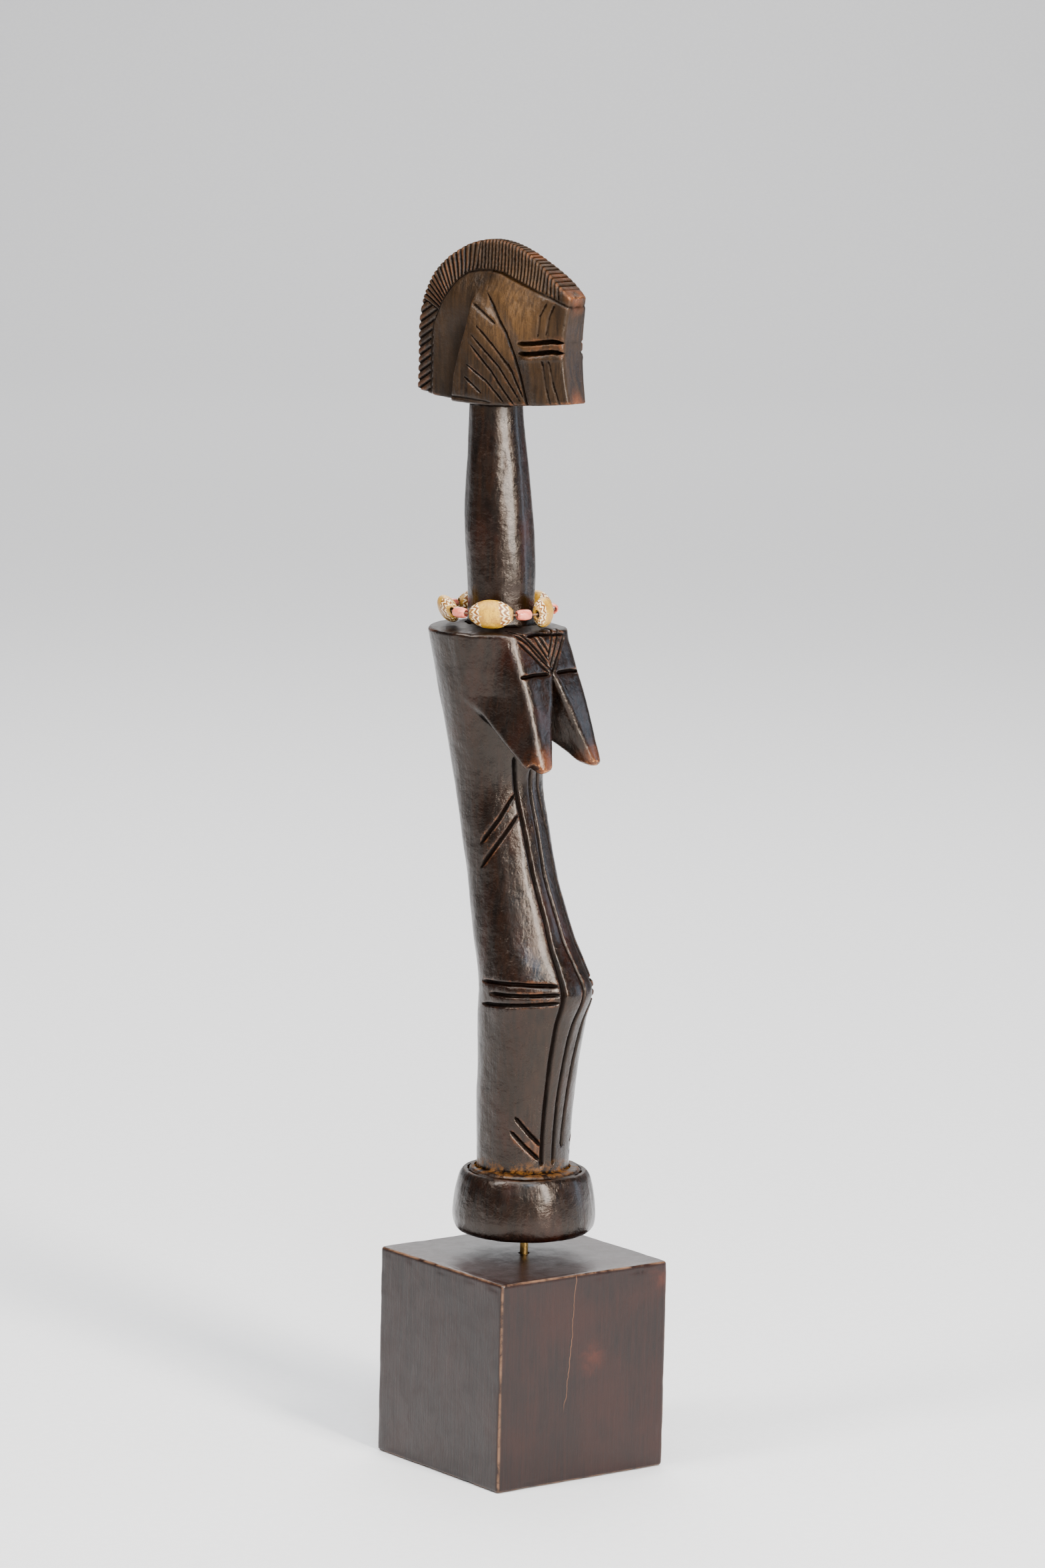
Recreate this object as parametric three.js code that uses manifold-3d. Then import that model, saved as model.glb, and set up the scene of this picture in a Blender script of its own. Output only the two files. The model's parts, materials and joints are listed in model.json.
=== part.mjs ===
// A carved wooden fertility doll with a bead necklace, standing on a mounting pin in a square plinth.
// Millimetres, +Z up. The origin is the centre of the plinth's underside and the doll looks towards -Y.
import * as THREE from 'three';
import { ConvexGeometry } from 'three/addons/geometries/ConvexGeometry.js';
import { mergeVertices } from 'three/addons/utils/BufferGeometryUtils.js';
import Module from 'manifold-3d';

const wasm = await Module();
wasm.setup();

// ---------------------------------------------------------------- driving dimensions

// Plinth: a solid hardwood block with softened edges.
const plinthWidth = 60;
const plinthDepth = 59;
const plinthHeight = 61;
const plinthEdge = 1;

// Mounting pin, set in the plinth and entering the doll's foot.
const pinDiameter = 2.4;
const pinInPlinth = 25;
const pinInFoot = 25;
const footGap = 6.4;
const clearance = 0.3;
const holeEndGap = 1;

// The doll's front is turned a little from the plinth's front.
const dollTurn = THREE.MathUtils.degToRad(12.7);

// Foot: a thick round disc with a rolled top edge.
const footRadius = 20.7;
const footHeight = 20.6;

// Leg and trunk: round sections whose centres lean, given as offsets towards the doll's front.
const legHeight = 51.6;
const ankleRadius = 13.4;
const kneeRadius = 16.3;
const kneeForward = 1.7;
const trunkHeight = 102.7;
const waistRadius = 12.8;
const shoulderRadius = 20;
const shoulderForward = -15.5;
const shoulderRise = 1.8;

// Breasts: two blunt wedges that hang from the front of the shoulders.
const breastDrop = 38.3;
const breastSpread = 11.4;
const breastReach = 26.9;
const breastTipRadius = 3.1;

// Neck: a long swelling column.
const neckLength = 61.6;
const neckRadius = 9.9;
const neckTopRadius = 7.5;
const neckBaseForward = -14.1;
const neckTopForward = -17.8;

// Head: a crested helmet form, deep from face to back and narrow from side to side.
const headHeight = 47.9;
const headDepth = 58.8;
const headForward = -17;
const headWidth = 20;
const crestWidth = 3.6;
const faceWidth = 7;

// Necklace: flat yellow beads and small pink beads on a knotted string that hangs loose round the neck.
const necklaceOrder = [
  'yellow', 'pink', 'yellow', 'pink', 'yellow', 'pink', 'yellow', 'pink', 'knot', 'yellow', 'pink',
];
const firstBeadAngle = THREE.MathUtils.degToRad(-147);
const yellowTilts = [4, -6, 8, -5, 28].map(THREE.MathUtils.degToRad);
const necklaceOffset = { sideways: -0.9, forward: -0.5 };
const necklaceLift = 3.9;
const yellowLength = 12.7;
const yellowHeight = 8.6;
const yellowThickness = 5;
const yellowHole = 2.2;
const yellowBluntness = 0.2;
const pinkLength = 4.5;
const pinkDiameter = 3.2;
const pinkHole = 1.5;
const pinkBluntness = 0.45;
const tightestBeadGap = 1;
const necklaceRoom = 1.5;
const stringDiameter = 0.8;
const knotDiameter = 2;

// Scored lines.
const grooveWidth = 1.1;

// Facets round each section and along each column.
const sectionFacets = 40;
const beadFacets = 16;

// ---------------------------------------------------------------- levels

const footBottom = plinthHeight + footGap;
const ankleLevel = footBottom + footHeight;
const kneeLevel = ankleLevel + legHeight;
const shoulderLevel = kneeLevel + trunkHeight;
const neckBase = shoulderLevel + shoulderRise;
const headBottom = neckBase + neckLength;

// ---------------------------------------------------------------- helpers

// A closed three.js geometry as a manifold solid.
function solid(geometry) {
  const bare = geometry.clone();
  bare.deleteAttribute('normal');
  bare.deleteAttribute('uv');
  const merged = mergeVertices(bare, 1e-4);
  const index = merged.index ? merged.index.array : [...merged.attributes.position.array.keys()];
  return new wasm.Manifold(new wasm.Mesh({
    numProp: 3,
    vertProperties: Float32Array.from(merged.attributes.position.array),
    triVerts: Uint32Array.from(index),
  }));
}

// A manifold solid as a three.js geometry.
function geometryOf(manifold) {
  const mesh = manifold.getMesh();
  const geometry = new THREE.BufferGeometry();
  geometry.setAttribute('position', new THREE.BufferAttribute(mesh.vertProperties, 3));
  geometry.setIndex(new THREE.BufferAttribute(mesh.triVerts, 1));
  return geometry;
}

// Smooth values between stations, each a list that starts with its level.
function valuesAt(stations, level) {
  const last = stations.length - 1;
  let i = 0;
  while (i < last - 1 && stations[i + 1][0] < level) i += 1;
  const [a, b] = [stations[i], stations[i + 1]];
  const before = stations[Math.max(i - 1, 0)];
  const after = stations[Math.min(i + 2, last)];
  const span = b[0] - a[0];
  const t = THREE.MathUtils.clamp((level - a[0]) / span, 0, 1);
  return a.map((start, k) => {
    const slopeA = (b[k] - before[k]) / (b[0] - before[0]);
    const slopeB = (after[k] - a[k]) / (after[0] - a[0]);
    const h00 = (1 + 2 * t) * (1 - t) ** 2;
    const h10 = t * (1 - t) ** 2;
    const h01 = t * t * (3 - 2 * t);
    const h11 = t * t * (t - 1);
    return h00 * start + h10 * span * slopeA + h01 * b[k] + h11 * span * slopeB;
  });
}

// A point on a column at an angle from the front, positive towards +X.
// A section is [level, centre forward, radius, stretch of its front half].
function onSection([level, forward, radius, frontStretch], angle, outward = 0) {
  const reach = radius + outward;
  const ahead = Math.cos(angle) * reach * (Math.cos(angle) > 0 ? frontStretch : 1);
  return new THREE.Vector3(Math.sin(angle) * reach, -(forward + ahead), level);
}

// A closed column through a list of sections.
function column(sections) {
  const rows = sections.length - 1;
  const geometry = new THREE.CylinderGeometry(1, 1, 1, sectionFacets, rows);
  const position = geometry.attributes.position;
  for (let i = 0; i < position.count; i += 1) {
    const [level, forward, radius, frontStretch] = sections[Math.round((position.getY(i) + 0.5) * rows)];
    const ahead = position.getZ(i) * radius * (position.getZ(i) > 0 ? frontStretch : 1);
    position.setXYZ(i, position.getX(i) * radius, -(forward + ahead), level);
  }
  return solid(geometry);
}

// Sections at even steps between two levels.
function sectionsBetween(stations, from, to, steps) {
  return Array.from({ length: steps + 1 }, (_, i) => valuesAt(stations, from + (to - from) * i / steps));
}

// A shape whose right side runs smoothly through points and whose left side mirrors it, extruded.
function extrudeMirrored(rightSide, depth) {
  const smooth = new THREE.SplineCurve(rightSide.map(([x, y]) => new THREE.Vector2(x, y))).getPoints(16);
  const mirrored = smooth.map((point) => new THREE.Vector2(-point.x, point.y)).reverse();
  const outline = new THREE.Shape([...smooth, ...mirrored]);
  return new THREE.ExtrudeGeometry(outline, { depth, bevelEnabled: false });
}

// A thin round bar along points, used to score a line into a surface.
function scoringBar(points, steps) {
  const bar = new THREE.Shape();
  bar.absarc(0, 0, grooveWidth / 2, 0, 2 * Math.PI);
  const extrudePath = new THREE.CatmullRomCurve3(points);
  const settings = { steps, curveSegments: 3, extrudePath, bevelEnabled: false };
  return solid(new THREE.ExtrudeGeometry(bar, settings));
}

// A hole for the pin, open at one end: its floor is at the level `closed` and it runs past `open`.
function pinHole(closed, open) {
  const past = Math.sign(open - closed);
  const radius = pinDiameter / 2 + clearance;
  const hole = new THREE.CylinderGeometry(radius, radius, Math.abs(open - closed) + 1, 24);
  hole.rotateX(Math.PI / 2);
  hole.translate(0, 0, (closed + open + past) / 2);
  return solid(hole);
}

// ---------------------------------------------------------------- plinth and pin

function plinthGeometry() {
  const [x, y] = [plinthWidth / 2 - plinthEdge, plinthDepth / 2 - plinthEdge];
  const corners = [[-x, -y], [x, -y], [x, y], [-x, y]];
  const outline = new THREE.Shape(corners.map((corner) => new THREE.Vector2(...corner)));
  const block = new THREE.ExtrudeGeometry(outline, {
    depth: plinthHeight - 2 * plinthEdge,
    bevelThickness: plinthEdge,
    bevelSize: plinthEdge,
    bevelSegments: 3,
  });
  block.translate(0, 0, plinthEdge);
  const hole = pinHole(plinthHeight - pinInPlinth - holeEndGap, plinthHeight);
  return geometryOf(solid(block).subtract(hole));
}

function pinGeometry() {
  const length = pinInPlinth + footGap + pinInFoot;
  const chamfer = pinDiameter / 6;
  const radius = pinDiameter / 2;
  const profile = [
    [0, 0], [radius - chamfer, 0], [radius, chamfer],
    [radius, length - chamfer], [radius - chamfer, length], [0, length],
  ];
  const pin = new THREE.LatheGeometry(profile.map(([x, y]) => new THREE.Vector2(x, y)), 24);
  pin.rotateX(Math.PI / 2);
  pin.translate(0, 0, plinthHeight - pinInPlinth);
  return pin;
}

// ---------------------------------------------------------------- carved figure

const trunkStations = [
  [ankleLevel - 3, -1.3, ankleRadius, 1],
  [ankleLevel + 0.23 * legHeight, -1.2, ankleRadius + 0.4, 1],
  [ankleLevel + 0.54 * legHeight, -0.4, (ankleRadius + kneeRadius) / 2 - 0.3, 1.01],
  [ankleLevel + 0.83 * legHeight, 0.6, kneeRadius - 0.7, 1.04],
  [kneeLevel, kneeForward, kneeRadius, 1.08],
  [kneeLevel + 0.07 * trunkHeight, kneeForward - 1.9, kneeRadius - 0.8, 1.05],
  [kneeLevel + 0.15 * trunkHeight, kneeForward - 4.8, kneeRadius - 1.8, 1.01],
  [kneeLevel + 0.29 * trunkHeight, kneeForward - 8.9, waistRadius + 0.4, 1],
  [kneeLevel + 0.44 * trunkHeight, kneeForward - 12.5, waistRadius, 1],
  [kneeLevel + 0.59 * trunkHeight, kneeForward - 15.7, waistRadius + 0.2, 1],
  [shoulderLevel, shoulderForward, shoulderRadius, 1.1],
];

const neckStations = [
  [neckBase - 3, neckBaseForward, neckRadius, 1],
  [neckBase + 0.1 * neckLength, neckBaseForward - 0.1, neckRadius - 0.2, 1],
  [neckBase + 0.42 * neckLength, neckBaseForward - 1.4, neckRadius, 1],
  [neckBase + 0.78 * neckLength, neckBaseForward - 2.7, (neckRadius + neckTopRadius) / 2, 1],
  [headBottom + 4, neckTopForward, neckTopRadius, 1],
];

function foot() {
  const flank = new THREE.SplineCurve([
    new THREE.Vector2(0.85 * footRadius, 0),
    new THREE.Vector2(0.95 * footRadius, 0.04 * footHeight),
    new THREE.Vector2(footRadius, 0.25 * footHeight),
    new THREE.Vector2(0.96 * footRadius, 0.6 * footHeight),
    new THREE.Vector2(0.91 * footRadius, 0.86 * footHeight),
    new THREE.Vector2(0.82 * footRadius, 0.97 * footHeight),
    new THREE.Vector2(0.7 * footRadius, footHeight),
  ]).getPoints(12);
  const profile = [new THREE.Vector2(0, 0), ...flank, new THREE.Vector2(0, footHeight)];
  const disc = new THREE.LatheGeometry(profile, sectionFacets);
  disc.rotateX(Math.PI / 2);
  disc.translate(0, 0.5, footBottom);
  return solid(disc);
}

function trunk() {
  const sections = sectionsBetween(trunkStations, ankleLevel - 3, shoulderLevel, 32);
  sections.push([neckBase + 0.1, neckBaseForward, 0.85 * neckRadius, 1]);
  return column(sections);
}

function neck() {
  return column(sectionsBetween(neckStations, neckBase - 3, headBottom + 4, 14));
}

// A point in front of the shoulders, as shares of a breast's spread, reach and drop.
function breastPoint(spread, reach, drop) {
  return new THREE.Vector3(
    spread * breastSpread,
    -(shoulderForward + reach * breastReach),
    shoulderLevel - drop * breastDrop,
  );
}

// One breast, on the side given by the sign: the hull of the shoulder's front quarter and a blunt tip.
function breast(side) {
  const shoulder = trunkStations.at(-1);
  const points = [];
  for (let step = 0; step <= 6; step += 1) {
    const angle = side * THREE.MathUtils.degToRad(4 + 13 * step);
    points.push(onSection(shoulder, angle, 0.2).setZ(shoulderLevel - 0.5));
  }
  const cleftTop = onSection(shoulder, -side * 0.04, 0.3).setZ(shoulderLevel - 0.5);
  points.push(cleftTop, cleftTop.clone().setZ(shoulderLevel - 0.32 * breastDrop));
  points.push(breastPoint(side * 0.35, 0.35, 0.72), breastPoint(0, 0, 0.4));
  const tip = breastPoint(side, 1, 1);
  const tipSides = 10;
  for (let step = 0; step < tipSides; step += 1) {
    const angle = 2 * Math.PI * step / tipSides;
    const rim = new THREE.Vector3(Math.cos(angle), Math.sin(angle), 0);
    points.push(tip.clone().addScaledVector(rim, 0.75 * breastTipRadius));
    points.push(tip.clone().addScaledVector(rim, breastTipRadius).setZ(tip.z + 1.2));
  }
  return solid(new ConvexGeometry(points));
}

// The head is the part common to three outlines: from the side, from the front and from above.
function head() {
  const back = headForward - headDepth / 2;
  const front = headForward + headDepth / 2;
  const top = headBottom + headHeight;
  const sideOutline = new THREE.Shape();
  sideOutline.moveTo(-back, headBottom + 3);
  sideOutline.lineTo(-back, headBottom + 0.46 * headHeight);
  sideOutline.bezierCurveTo(
    -back, headBottom + 0.7 * headHeight,
    -(back + 0.26 * headDepth), top,
    -(back + 0.48 * headDepth), top,
  );
  sideOutline.bezierCurveTo(
    -(front - 0.33 * headDepth), top,
    -(front - 0.11 * headDepth), top - 0.13 * headHeight,
    -front, headBottom + 0.7 * headHeight,
  );
  sideOutline.quadraticCurveTo(-(front - 3), headBottom + 0.38 * headHeight, -front, headBottom + 3);
  sideOutline.quadraticCurveTo(-headForward, headBottom - 3, -back, headBottom + 3);
  const depthAcross = { depth: 2 * headWidth, curveSegments: 12, bevelEnabled: false };
  const fromSide = new THREE.ExtrudeGeometry(sideOutline, depthAcross);
  fromSide.translate(0, 0, -headWidth);
  fromSide.applyMatrix4(new THREE.Matrix4().set(0, 0, 1, 0, 1, 0, 0, 0, 0, 1, 0, 0, 0, 0, 0, 1));

  const fromFront = extrudeMirrored([
    [0.48 * headWidth, headBottom - 4],
    [0.5 * headWidth, headBottom + 0.3 * headHeight],
    [0.46 * headWidth, headBottom + 0.52 * headHeight],
    [0.28 * headWidth, headBottom + 0.76 * headHeight],
    [0.5 * crestWidth, top + 0.5],
  ], 3 * headDepth);
  fromFront.rotateX(Math.PI / 2);
  fromFront.translate(0, -headForward + 1.5 * headDepth, 0);

  const fromAbove = extrudeMirrored([
    [0.5 * faceWidth, -(front + 1)],
    [0.33 * headWidth, -(front - 0.13 * headDepth)],
    [0.47 * headWidth, -(front - 0.3 * headDepth)],
    [0.5 * headWidth, -(front - 0.48 * headDepth)],
    [0.34 * headWidth, -(back + 0.28 * headDepth)],
    [0.5 * crestWidth + 0.4, -(back - 1)],
  ], 2 * headHeight);
  fromAbove.translate(0, 0, headBottom - headHeight / 2);

  return solid(fromSide).intersect(solid(fromFront)).intersect(solid(fromAbove));
}

// Every scored line on the trunk, as bars that follow its surface.
function trunkScoring() {
  const { degToRad, lerp } = THREE.MathUtils;
  // A line between two places on the trunk, each given as [level, degrees from the front].
  const line = ([fromLevel, fromAngle], [toLevel, toAngle], steps) => {
    const points = Array.from({ length: steps + 1 }, (_, i) => {
      const section = valuesAt(trunkStations, lerp(fromLevel, toLevel, i / steps));
      return onSection(section, degToRad(lerp(fromAngle, toAngle, i / steps)));
    });
    return scoringBar(points, 2 * steps);
  };
  const bars = [];
  for (const angle of [-24, -1, 22]) {
    bars.push(line([ankleLevel + 1, angle], [kneeLevel + 0.63 * trunkHeight, angle], 14));
  }
  for (const side of [-1, 1]) {
    for (const drop of [1, 3, 5.2]) {
      bars.push(line([kneeLevel + 3 - drop, side * 30], [kneeLevel + 2 - drop, side * 108], 8));
    }
    for (const drop of [0, 5.5]) {
      const waistLine = kneeLevel + 0.54 * trunkHeight - drop;
      bars.push(line([waistLine, side * 28], [waistLine - 0.12 * trunkHeight, side * 82], 6));
      const shinLine = ankleLevel + 0.18 * legHeight - drop;
      bars.push(line([shinLine, side * 27], [shinLine + 0.14 * legHeight, side * 62], 5));
    }
  }
  return bars;
}

// Two deep level cuts on each side of the face.
function eyeCuts() {
  const front = headForward + headDepth / 2;
  const cuts = [];
  for (const side of [-1, 1]) {
    for (const height of [0.4, 0.46]) {
      const level = headBottom + height * headHeight;
      cuts.push(scoringBar([
        new THREE.Vector3(side * (0.5 * faceWidth - 0.4), -(front - 1.5), level),
        new THREE.Vector3(side * (0.34 * headWidth), -(front - 0.14 * headDepth), level),
        new THREE.Vector3(side * (0.47 * headWidth), -(front - 0.3 * headDepth), level),
      ], 6));
    }
  }
  return cuts;
}

function figureGeometry() {
  let figure = foot().add(trunk()).add(neck()).add(head());
  figure = figure.add(breast(-1)).add(breast(1));
  for (const bar of [...trunkScoring(), ...eyeCuts()]) figure = figure.subtract(bar);
  return geometryOf(figure.subtract(pinHole(footBottom + pinInFoot + holeEndGap, footBottom)));
}

// ---------------------------------------------------------------- necklace

// The string runs straight through each bead and turns where two beads meet, so its centre line is a
// polygon with its corners on one circle. The string between the beads is as short as lets the yellow
// ones clear the neck.
const necklaceLevel = neckBase + necklaceLift;
const clearReach = neckRadius + yellowThickness / 2 + necklaceRoom;
let beadGap = tightestBeadGap;
while (reachOf('yellow') < clearReach) beadGap += 0.05;
const cornerRadius = cornerRadiusFor(necklaceOrder.map(chordLength));

// How much of the string one piece takes up.
function chordLength(kind) {
  return { yellow: yellowLength, pink: pinkLength, knot: knotDiameter }[kind] + beadGap;
}

// How far from the string's centre a piece lies.
function reachOf(kind) {
  return Math.sqrt(cornerRadiusFor(necklaceOrder.map(chordLength)) ** 2 - (chordLength(kind) / 2) ** 2);
}

// The radius of the circle round which chords of these lengths close, found by halving an interval.
function cornerRadiusFor(chords) {
  let low = Math.max(...chords) / 2;
  let high = chords.reduce((sum, chord) => sum + chord, 0);
  for (let i = 0; i < 60; i += 1) {
    const radius = (low + high) / 2;
    const turn = chords.reduce((sum, chord) => sum + 2 * Math.asin(chord / 2 / radius), 0);
    if (turn > 2 * Math.PI) low = radius;
    else high = radius;
  }
  return (low + high) / 2;
}

// Each place on the string: its kind, the angles where it starts and ends, its middle and its reach.
const places = [];
for (const kind of necklaceOrder) {
  const width = 2 * Math.asin(chordLength(kind) / 2 / cornerRadius);
  const start = places.length ? places.at(-1).end : firstBeadAngle - width / 2;
  const reach = cornerRadius * Math.cos(width / 2);
  places.push({ kind, start, end: start + width, middle: start + width / 2, width, reach });
}

// A bead turned on its own axis (along X), with a round hole and an oval section.
function beadGeometry(length, height, thickness, hole, bluntness) {
  const steps = 8;
  const outer = [];
  for (let i = 0; i <= steps; i += 1) {
    const along = -1 + 2 * i / steps;
    const swell = bluntness + (1 - bluntness) * Math.sqrt(1 - 0.96 * along * along);
    outer.push(new THREE.Vector2(swell * height / 2, along * length / 2));
  }
  const bore = [new THREE.Vector2(hole / 2, length / 2), new THREE.Vector2(hole / 2, -length / 2)];
  const bead = new THREE.LatheGeometry([...outer, ...bore, outer[0].clone()], beadFacets);
  bead.rotateZ(-Math.PI / 2);
  const position = bead.attributes.position;
  for (let i = 0; i < position.count; i += 1) {
    const radius = Math.hypot(position.getY(i), position.getZ(i));
    if (radius > hole / 2 + 0.01) {
      const keep = hole / 2 + (radius - hole / 2) * (thickness - hole) / (height - hole);
      position.setY(i, position.getY(i) / radius * keep);
    }
  }
  return bead;
}

// The string is a torus whose rings are moved to the polygon of bead axes, with its knot at the back.
function stringGeometry() {
  const rings = places.flatMap((place) => {
    const steps = place.kind === 'yellow' ? 4 : 2;
    return Array.from({ length: steps }, (_, i) => {
      const angle = place.start + place.width * i / steps;
      return { angle, reach: place.reach / Math.cos(angle - place.middle) };
    });
  });
  const torus = new THREE.TorusGeometry(1, stringDiameter / 2, 8, rings.length);
  const position = torus.attributes.position;
  for (let i = 0; i < position.count; i += 1) {
    const turn = Math.atan2(position.getY(i), position.getX(i)) / (2 * Math.PI);
    const ring = rings[Math.round((turn + 1) * rings.length) % rings.length];
    const reach = Math.hypot(position.getX(i), position.getY(i)) - 1 + ring.reach;
    position.setXY(i, Math.cos(ring.angle) * reach, Math.sin(ring.angle) * reach);
  }
  const { middle, reach } = places.find((place) => place.kind === 'knot');
  const knot = new THREE.SphereGeometry(knotDiameter / 2, 12, 8);
  knot.translate(Math.cos(middle) * reach, Math.sin(middle) * reach, 0);
  return geometryOf(solid(torus).add(solid(knot)));
}

// ---------------------------------------------------------------- finishes

function finish(color, roughness, metalness = 0) {
  return new THREE.MeshStandardMaterial({ color, roughness, metalness });
}
const patinatedWood = () => finish(0x2b1f19, 0.35);
const stainedWood = () => finish(0x2a1712, 0.45);
const brass = () => finish(0x8a7446, 0.35, 1);
const yellowGlass = () => finish(0xc9a04a, 0.5);
const pinkGlass = () => finish(0xc98a80, 0.35);
const cotton = () => finish(0x4a3526, 0.9);

// ---------------------------------------------------------------- assembly

function part(name, geometry, material) {
  const mesh = new THREE.Mesh(geometry, material);
  mesh.name = name;
  return mesh;
}

const object = new THREE.Group();
object.add(part('plinth', plinthGeometry(), stainedWood()));
object.add(part('mount_pin', pinGeometry(), brass()));

const doll = new THREE.Group();
doll.rotation.z = dollTurn;
doll.add(part('carved_figure', figureGeometry(), patinatedWood()));
object.add(doll);

// The necklace lies level round the neck, a little off its centre, and each bead turns on its own
// stretch of string.
const necklace = new THREE.Group();
necklace.position.set(necklaceOffset.sideways, -(neckBaseForward + necklaceOffset.forward), necklaceLevel);
necklace.add(part('necklace_string', stringGeometry(), cotton()));
const beadKinds = {
  yellow: {
    shape: () => beadGeometry(yellowLength, yellowHeight, yellowThickness, yellowHole, yellowBluntness),
    material: yellowGlass,
    tilts: yellowTilts,
  },
  pink: {
    shape: () => beadGeometry(pinkLength, pinkDiameter, pinkDiameter, pinkHole, pinkBluntness),
    material: pinkGlass,
    tilts: yellowTilts.map(() => 0),
  },
};
const made = { yellow: 0, pink: 0 };
for (const { kind, middle, reach } of places.filter((place) => place.kind !== 'knot')) {
  const { shape, material, tilts } = beadKinds[kind];
  const tilt = tilts[made[kind]];
  made[kind] += 1;
  const bead = part(`${kind}_bead_${made[kind]}`, shape(), material());
  bead.position.set(Math.cos(middle) * reach, Math.sin(middle) * reach, 0);
  bead.rotation.set(tilt, 0, middle + Math.PI / 2, 'ZXY');
  necklace.add(bead);
}
doll.add(necklace);

export default object;
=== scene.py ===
"""A carved wooden fertility doll with a bead necklace, standing on a pin in a square plinth.

The doll and the plinth are carved as signed distance fields in millimetres and meshed. The pin and the
beads are lathed, and the string is swept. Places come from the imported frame: the boxes of its nodes and
the joints of its beads.
"""
import json
import math

import bmesh
import bpy
import numpy as np
import openvdb
from mathutils import Matrix, Vector


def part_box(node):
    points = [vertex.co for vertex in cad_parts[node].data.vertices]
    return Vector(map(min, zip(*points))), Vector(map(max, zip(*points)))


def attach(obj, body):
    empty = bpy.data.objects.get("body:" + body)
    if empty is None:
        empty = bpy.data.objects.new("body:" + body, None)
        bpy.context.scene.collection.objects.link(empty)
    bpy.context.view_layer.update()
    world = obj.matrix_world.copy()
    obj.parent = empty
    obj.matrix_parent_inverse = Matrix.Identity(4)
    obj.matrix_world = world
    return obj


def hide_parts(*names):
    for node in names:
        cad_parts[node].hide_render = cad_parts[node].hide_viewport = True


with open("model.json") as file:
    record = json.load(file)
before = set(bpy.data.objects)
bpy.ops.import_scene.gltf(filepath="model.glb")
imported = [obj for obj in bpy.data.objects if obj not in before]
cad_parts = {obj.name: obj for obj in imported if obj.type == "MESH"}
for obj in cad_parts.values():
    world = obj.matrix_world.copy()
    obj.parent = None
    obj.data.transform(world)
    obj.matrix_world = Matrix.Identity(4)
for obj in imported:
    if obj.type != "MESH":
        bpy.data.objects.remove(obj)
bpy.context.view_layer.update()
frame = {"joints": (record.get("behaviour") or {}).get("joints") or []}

MM = 0.001
SEED = 7
joints = {joint["name"]: joint for joint in frame["joints"]}


# ---------------------------------------------------------------- shared helpers

def smooth_stations(stations, level):
    """Smooth values between stations, each a row that starts with its level."""
    rows = np.array(stations, np.float32)
    level = np.clip(level, rows[0, 0], rows[-1, 0])
    i = np.clip(np.searchsorted(rows[:, 0], level, side="right") - 1, 0, len(rows) - 2)
    before, after = np.maximum(i - 1, 0), np.minimum(i + 2, len(rows) - 1)
    a, b, c, d = rows[before], rows[i], rows[i + 1], rows[after]
    span = (c - b)[..., :1]
    t = (level[..., None] - b[..., :1]) / span
    slope_b = (c - a) / (c - a)[..., :1]
    slope_c = (d - b) / (d - b)[..., :1]
    value = ((1 + 2 * t) * (1 - t) ** 2 * b + t * (1 - t) ** 2 * span * slope_b
             + t * t * (3 - 2 * t) * c + t * t * (t - 1) * span * slope_c)
    return [value[..., k] for k in range(1, rows.shape[1])]


def smooth_max(a, b, blend):
    """The larger of two distances, with the edge between them rounded over blend."""
    h = np.maximum(blend - np.abs(a - b), 0) / blend
    return np.maximum(a, b) + h * h * blend / 4


def smooth_min(a, b, blend):
    """The smaller of two distances, with the corner between them filled over blend."""
    return -smooth_max(-a, -b, blend)


def step_up(low, high, value):
    """0 below low, 1 above high, smooth between."""
    t = np.clip((value - low) / (high - low), 0, 1)
    return t * t * (3 - 2 * t)


def line_distance(u, v, points):
    """Distance to a polyline in a plane, and how far along it the nearest point is, from 0 to 1."""
    points = np.array(points, np.float32)
    lengths = np.hypot(*(points[1:] - points[:-1]).T)
    starts = np.concatenate([[0], np.cumsum(lengths)[:-1]])
    nearest, along = np.full(np.broadcast(u, v).shape, 1e3, np.float32), 0
    for (u0, v0), (u1, v1), length, start in zip(points[:-1], points[1:], lengths, starts):
        du, dv = (u1 - u0) / length, (v1 - v0) / length
        t = np.clip((u - u0) * du + (v - v0) * dv, 0, length)
        distance = np.hypot(u - u0 - t * du, v - v0 - t * dv)
        along = np.where(distance < nearest, start + t, along)
        nearest = np.minimum(nearest, distance)
    return nearest, along / lengths.sum()


def groove(u, v, points, width, depth, taper=0.12):
    """Depth of a rounded V cut along a polyline, running out to nothing at both ends."""
    distance, along = line_distance(u, v, points)
    ends = np.clip(np.minimum(along, 1 - along) / taper, 0, 1) if taper else 1
    return depth * np.sqrt(ends) * np.clip(1 - distance / (width / 2 * (0.4 + 0.6 * ends)), 0, 1) ** 0.8


def lattice_noise(points, size, seed):
    """Smooth noise from -1 to 1 at rows of points, with features of that size."""
    rng = np.random.default_rng(seed)
    table = rng.uniform(-1, 1, (32, 32, 32)).astype(np.float32)
    scaled = points / size
    cell = np.floor(scaled).astype(int)
    t = scaled - cell
    t = t * t * (3 - 2 * t)
    total = 0
    for corner in np.ndindex(2, 2, 2):
        weight = np.prod(np.where(corner, t, 1 - t), axis=-1)
        index = (cell + corner) % 32
        total = total + weight * table[index[..., 0], index[..., 1], index[..., 2]]
    return total


def mesh_from_field(field, low, voxel):
    """Vertices in millimetres and quads of the zero surface of a dense field."""
    grid = openvdb.FloatGrid(background=3.0)
    grid.copyFromArray(np.ascontiguousarray(np.clip(field, -3, 3), np.float32))
    vertices, quads = grid.convertToQuads(isovalue=0)
    return np.asarray(vertices) * voxel + np.asarray(low), np.asarray(quads)[:, ::-1]


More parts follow.
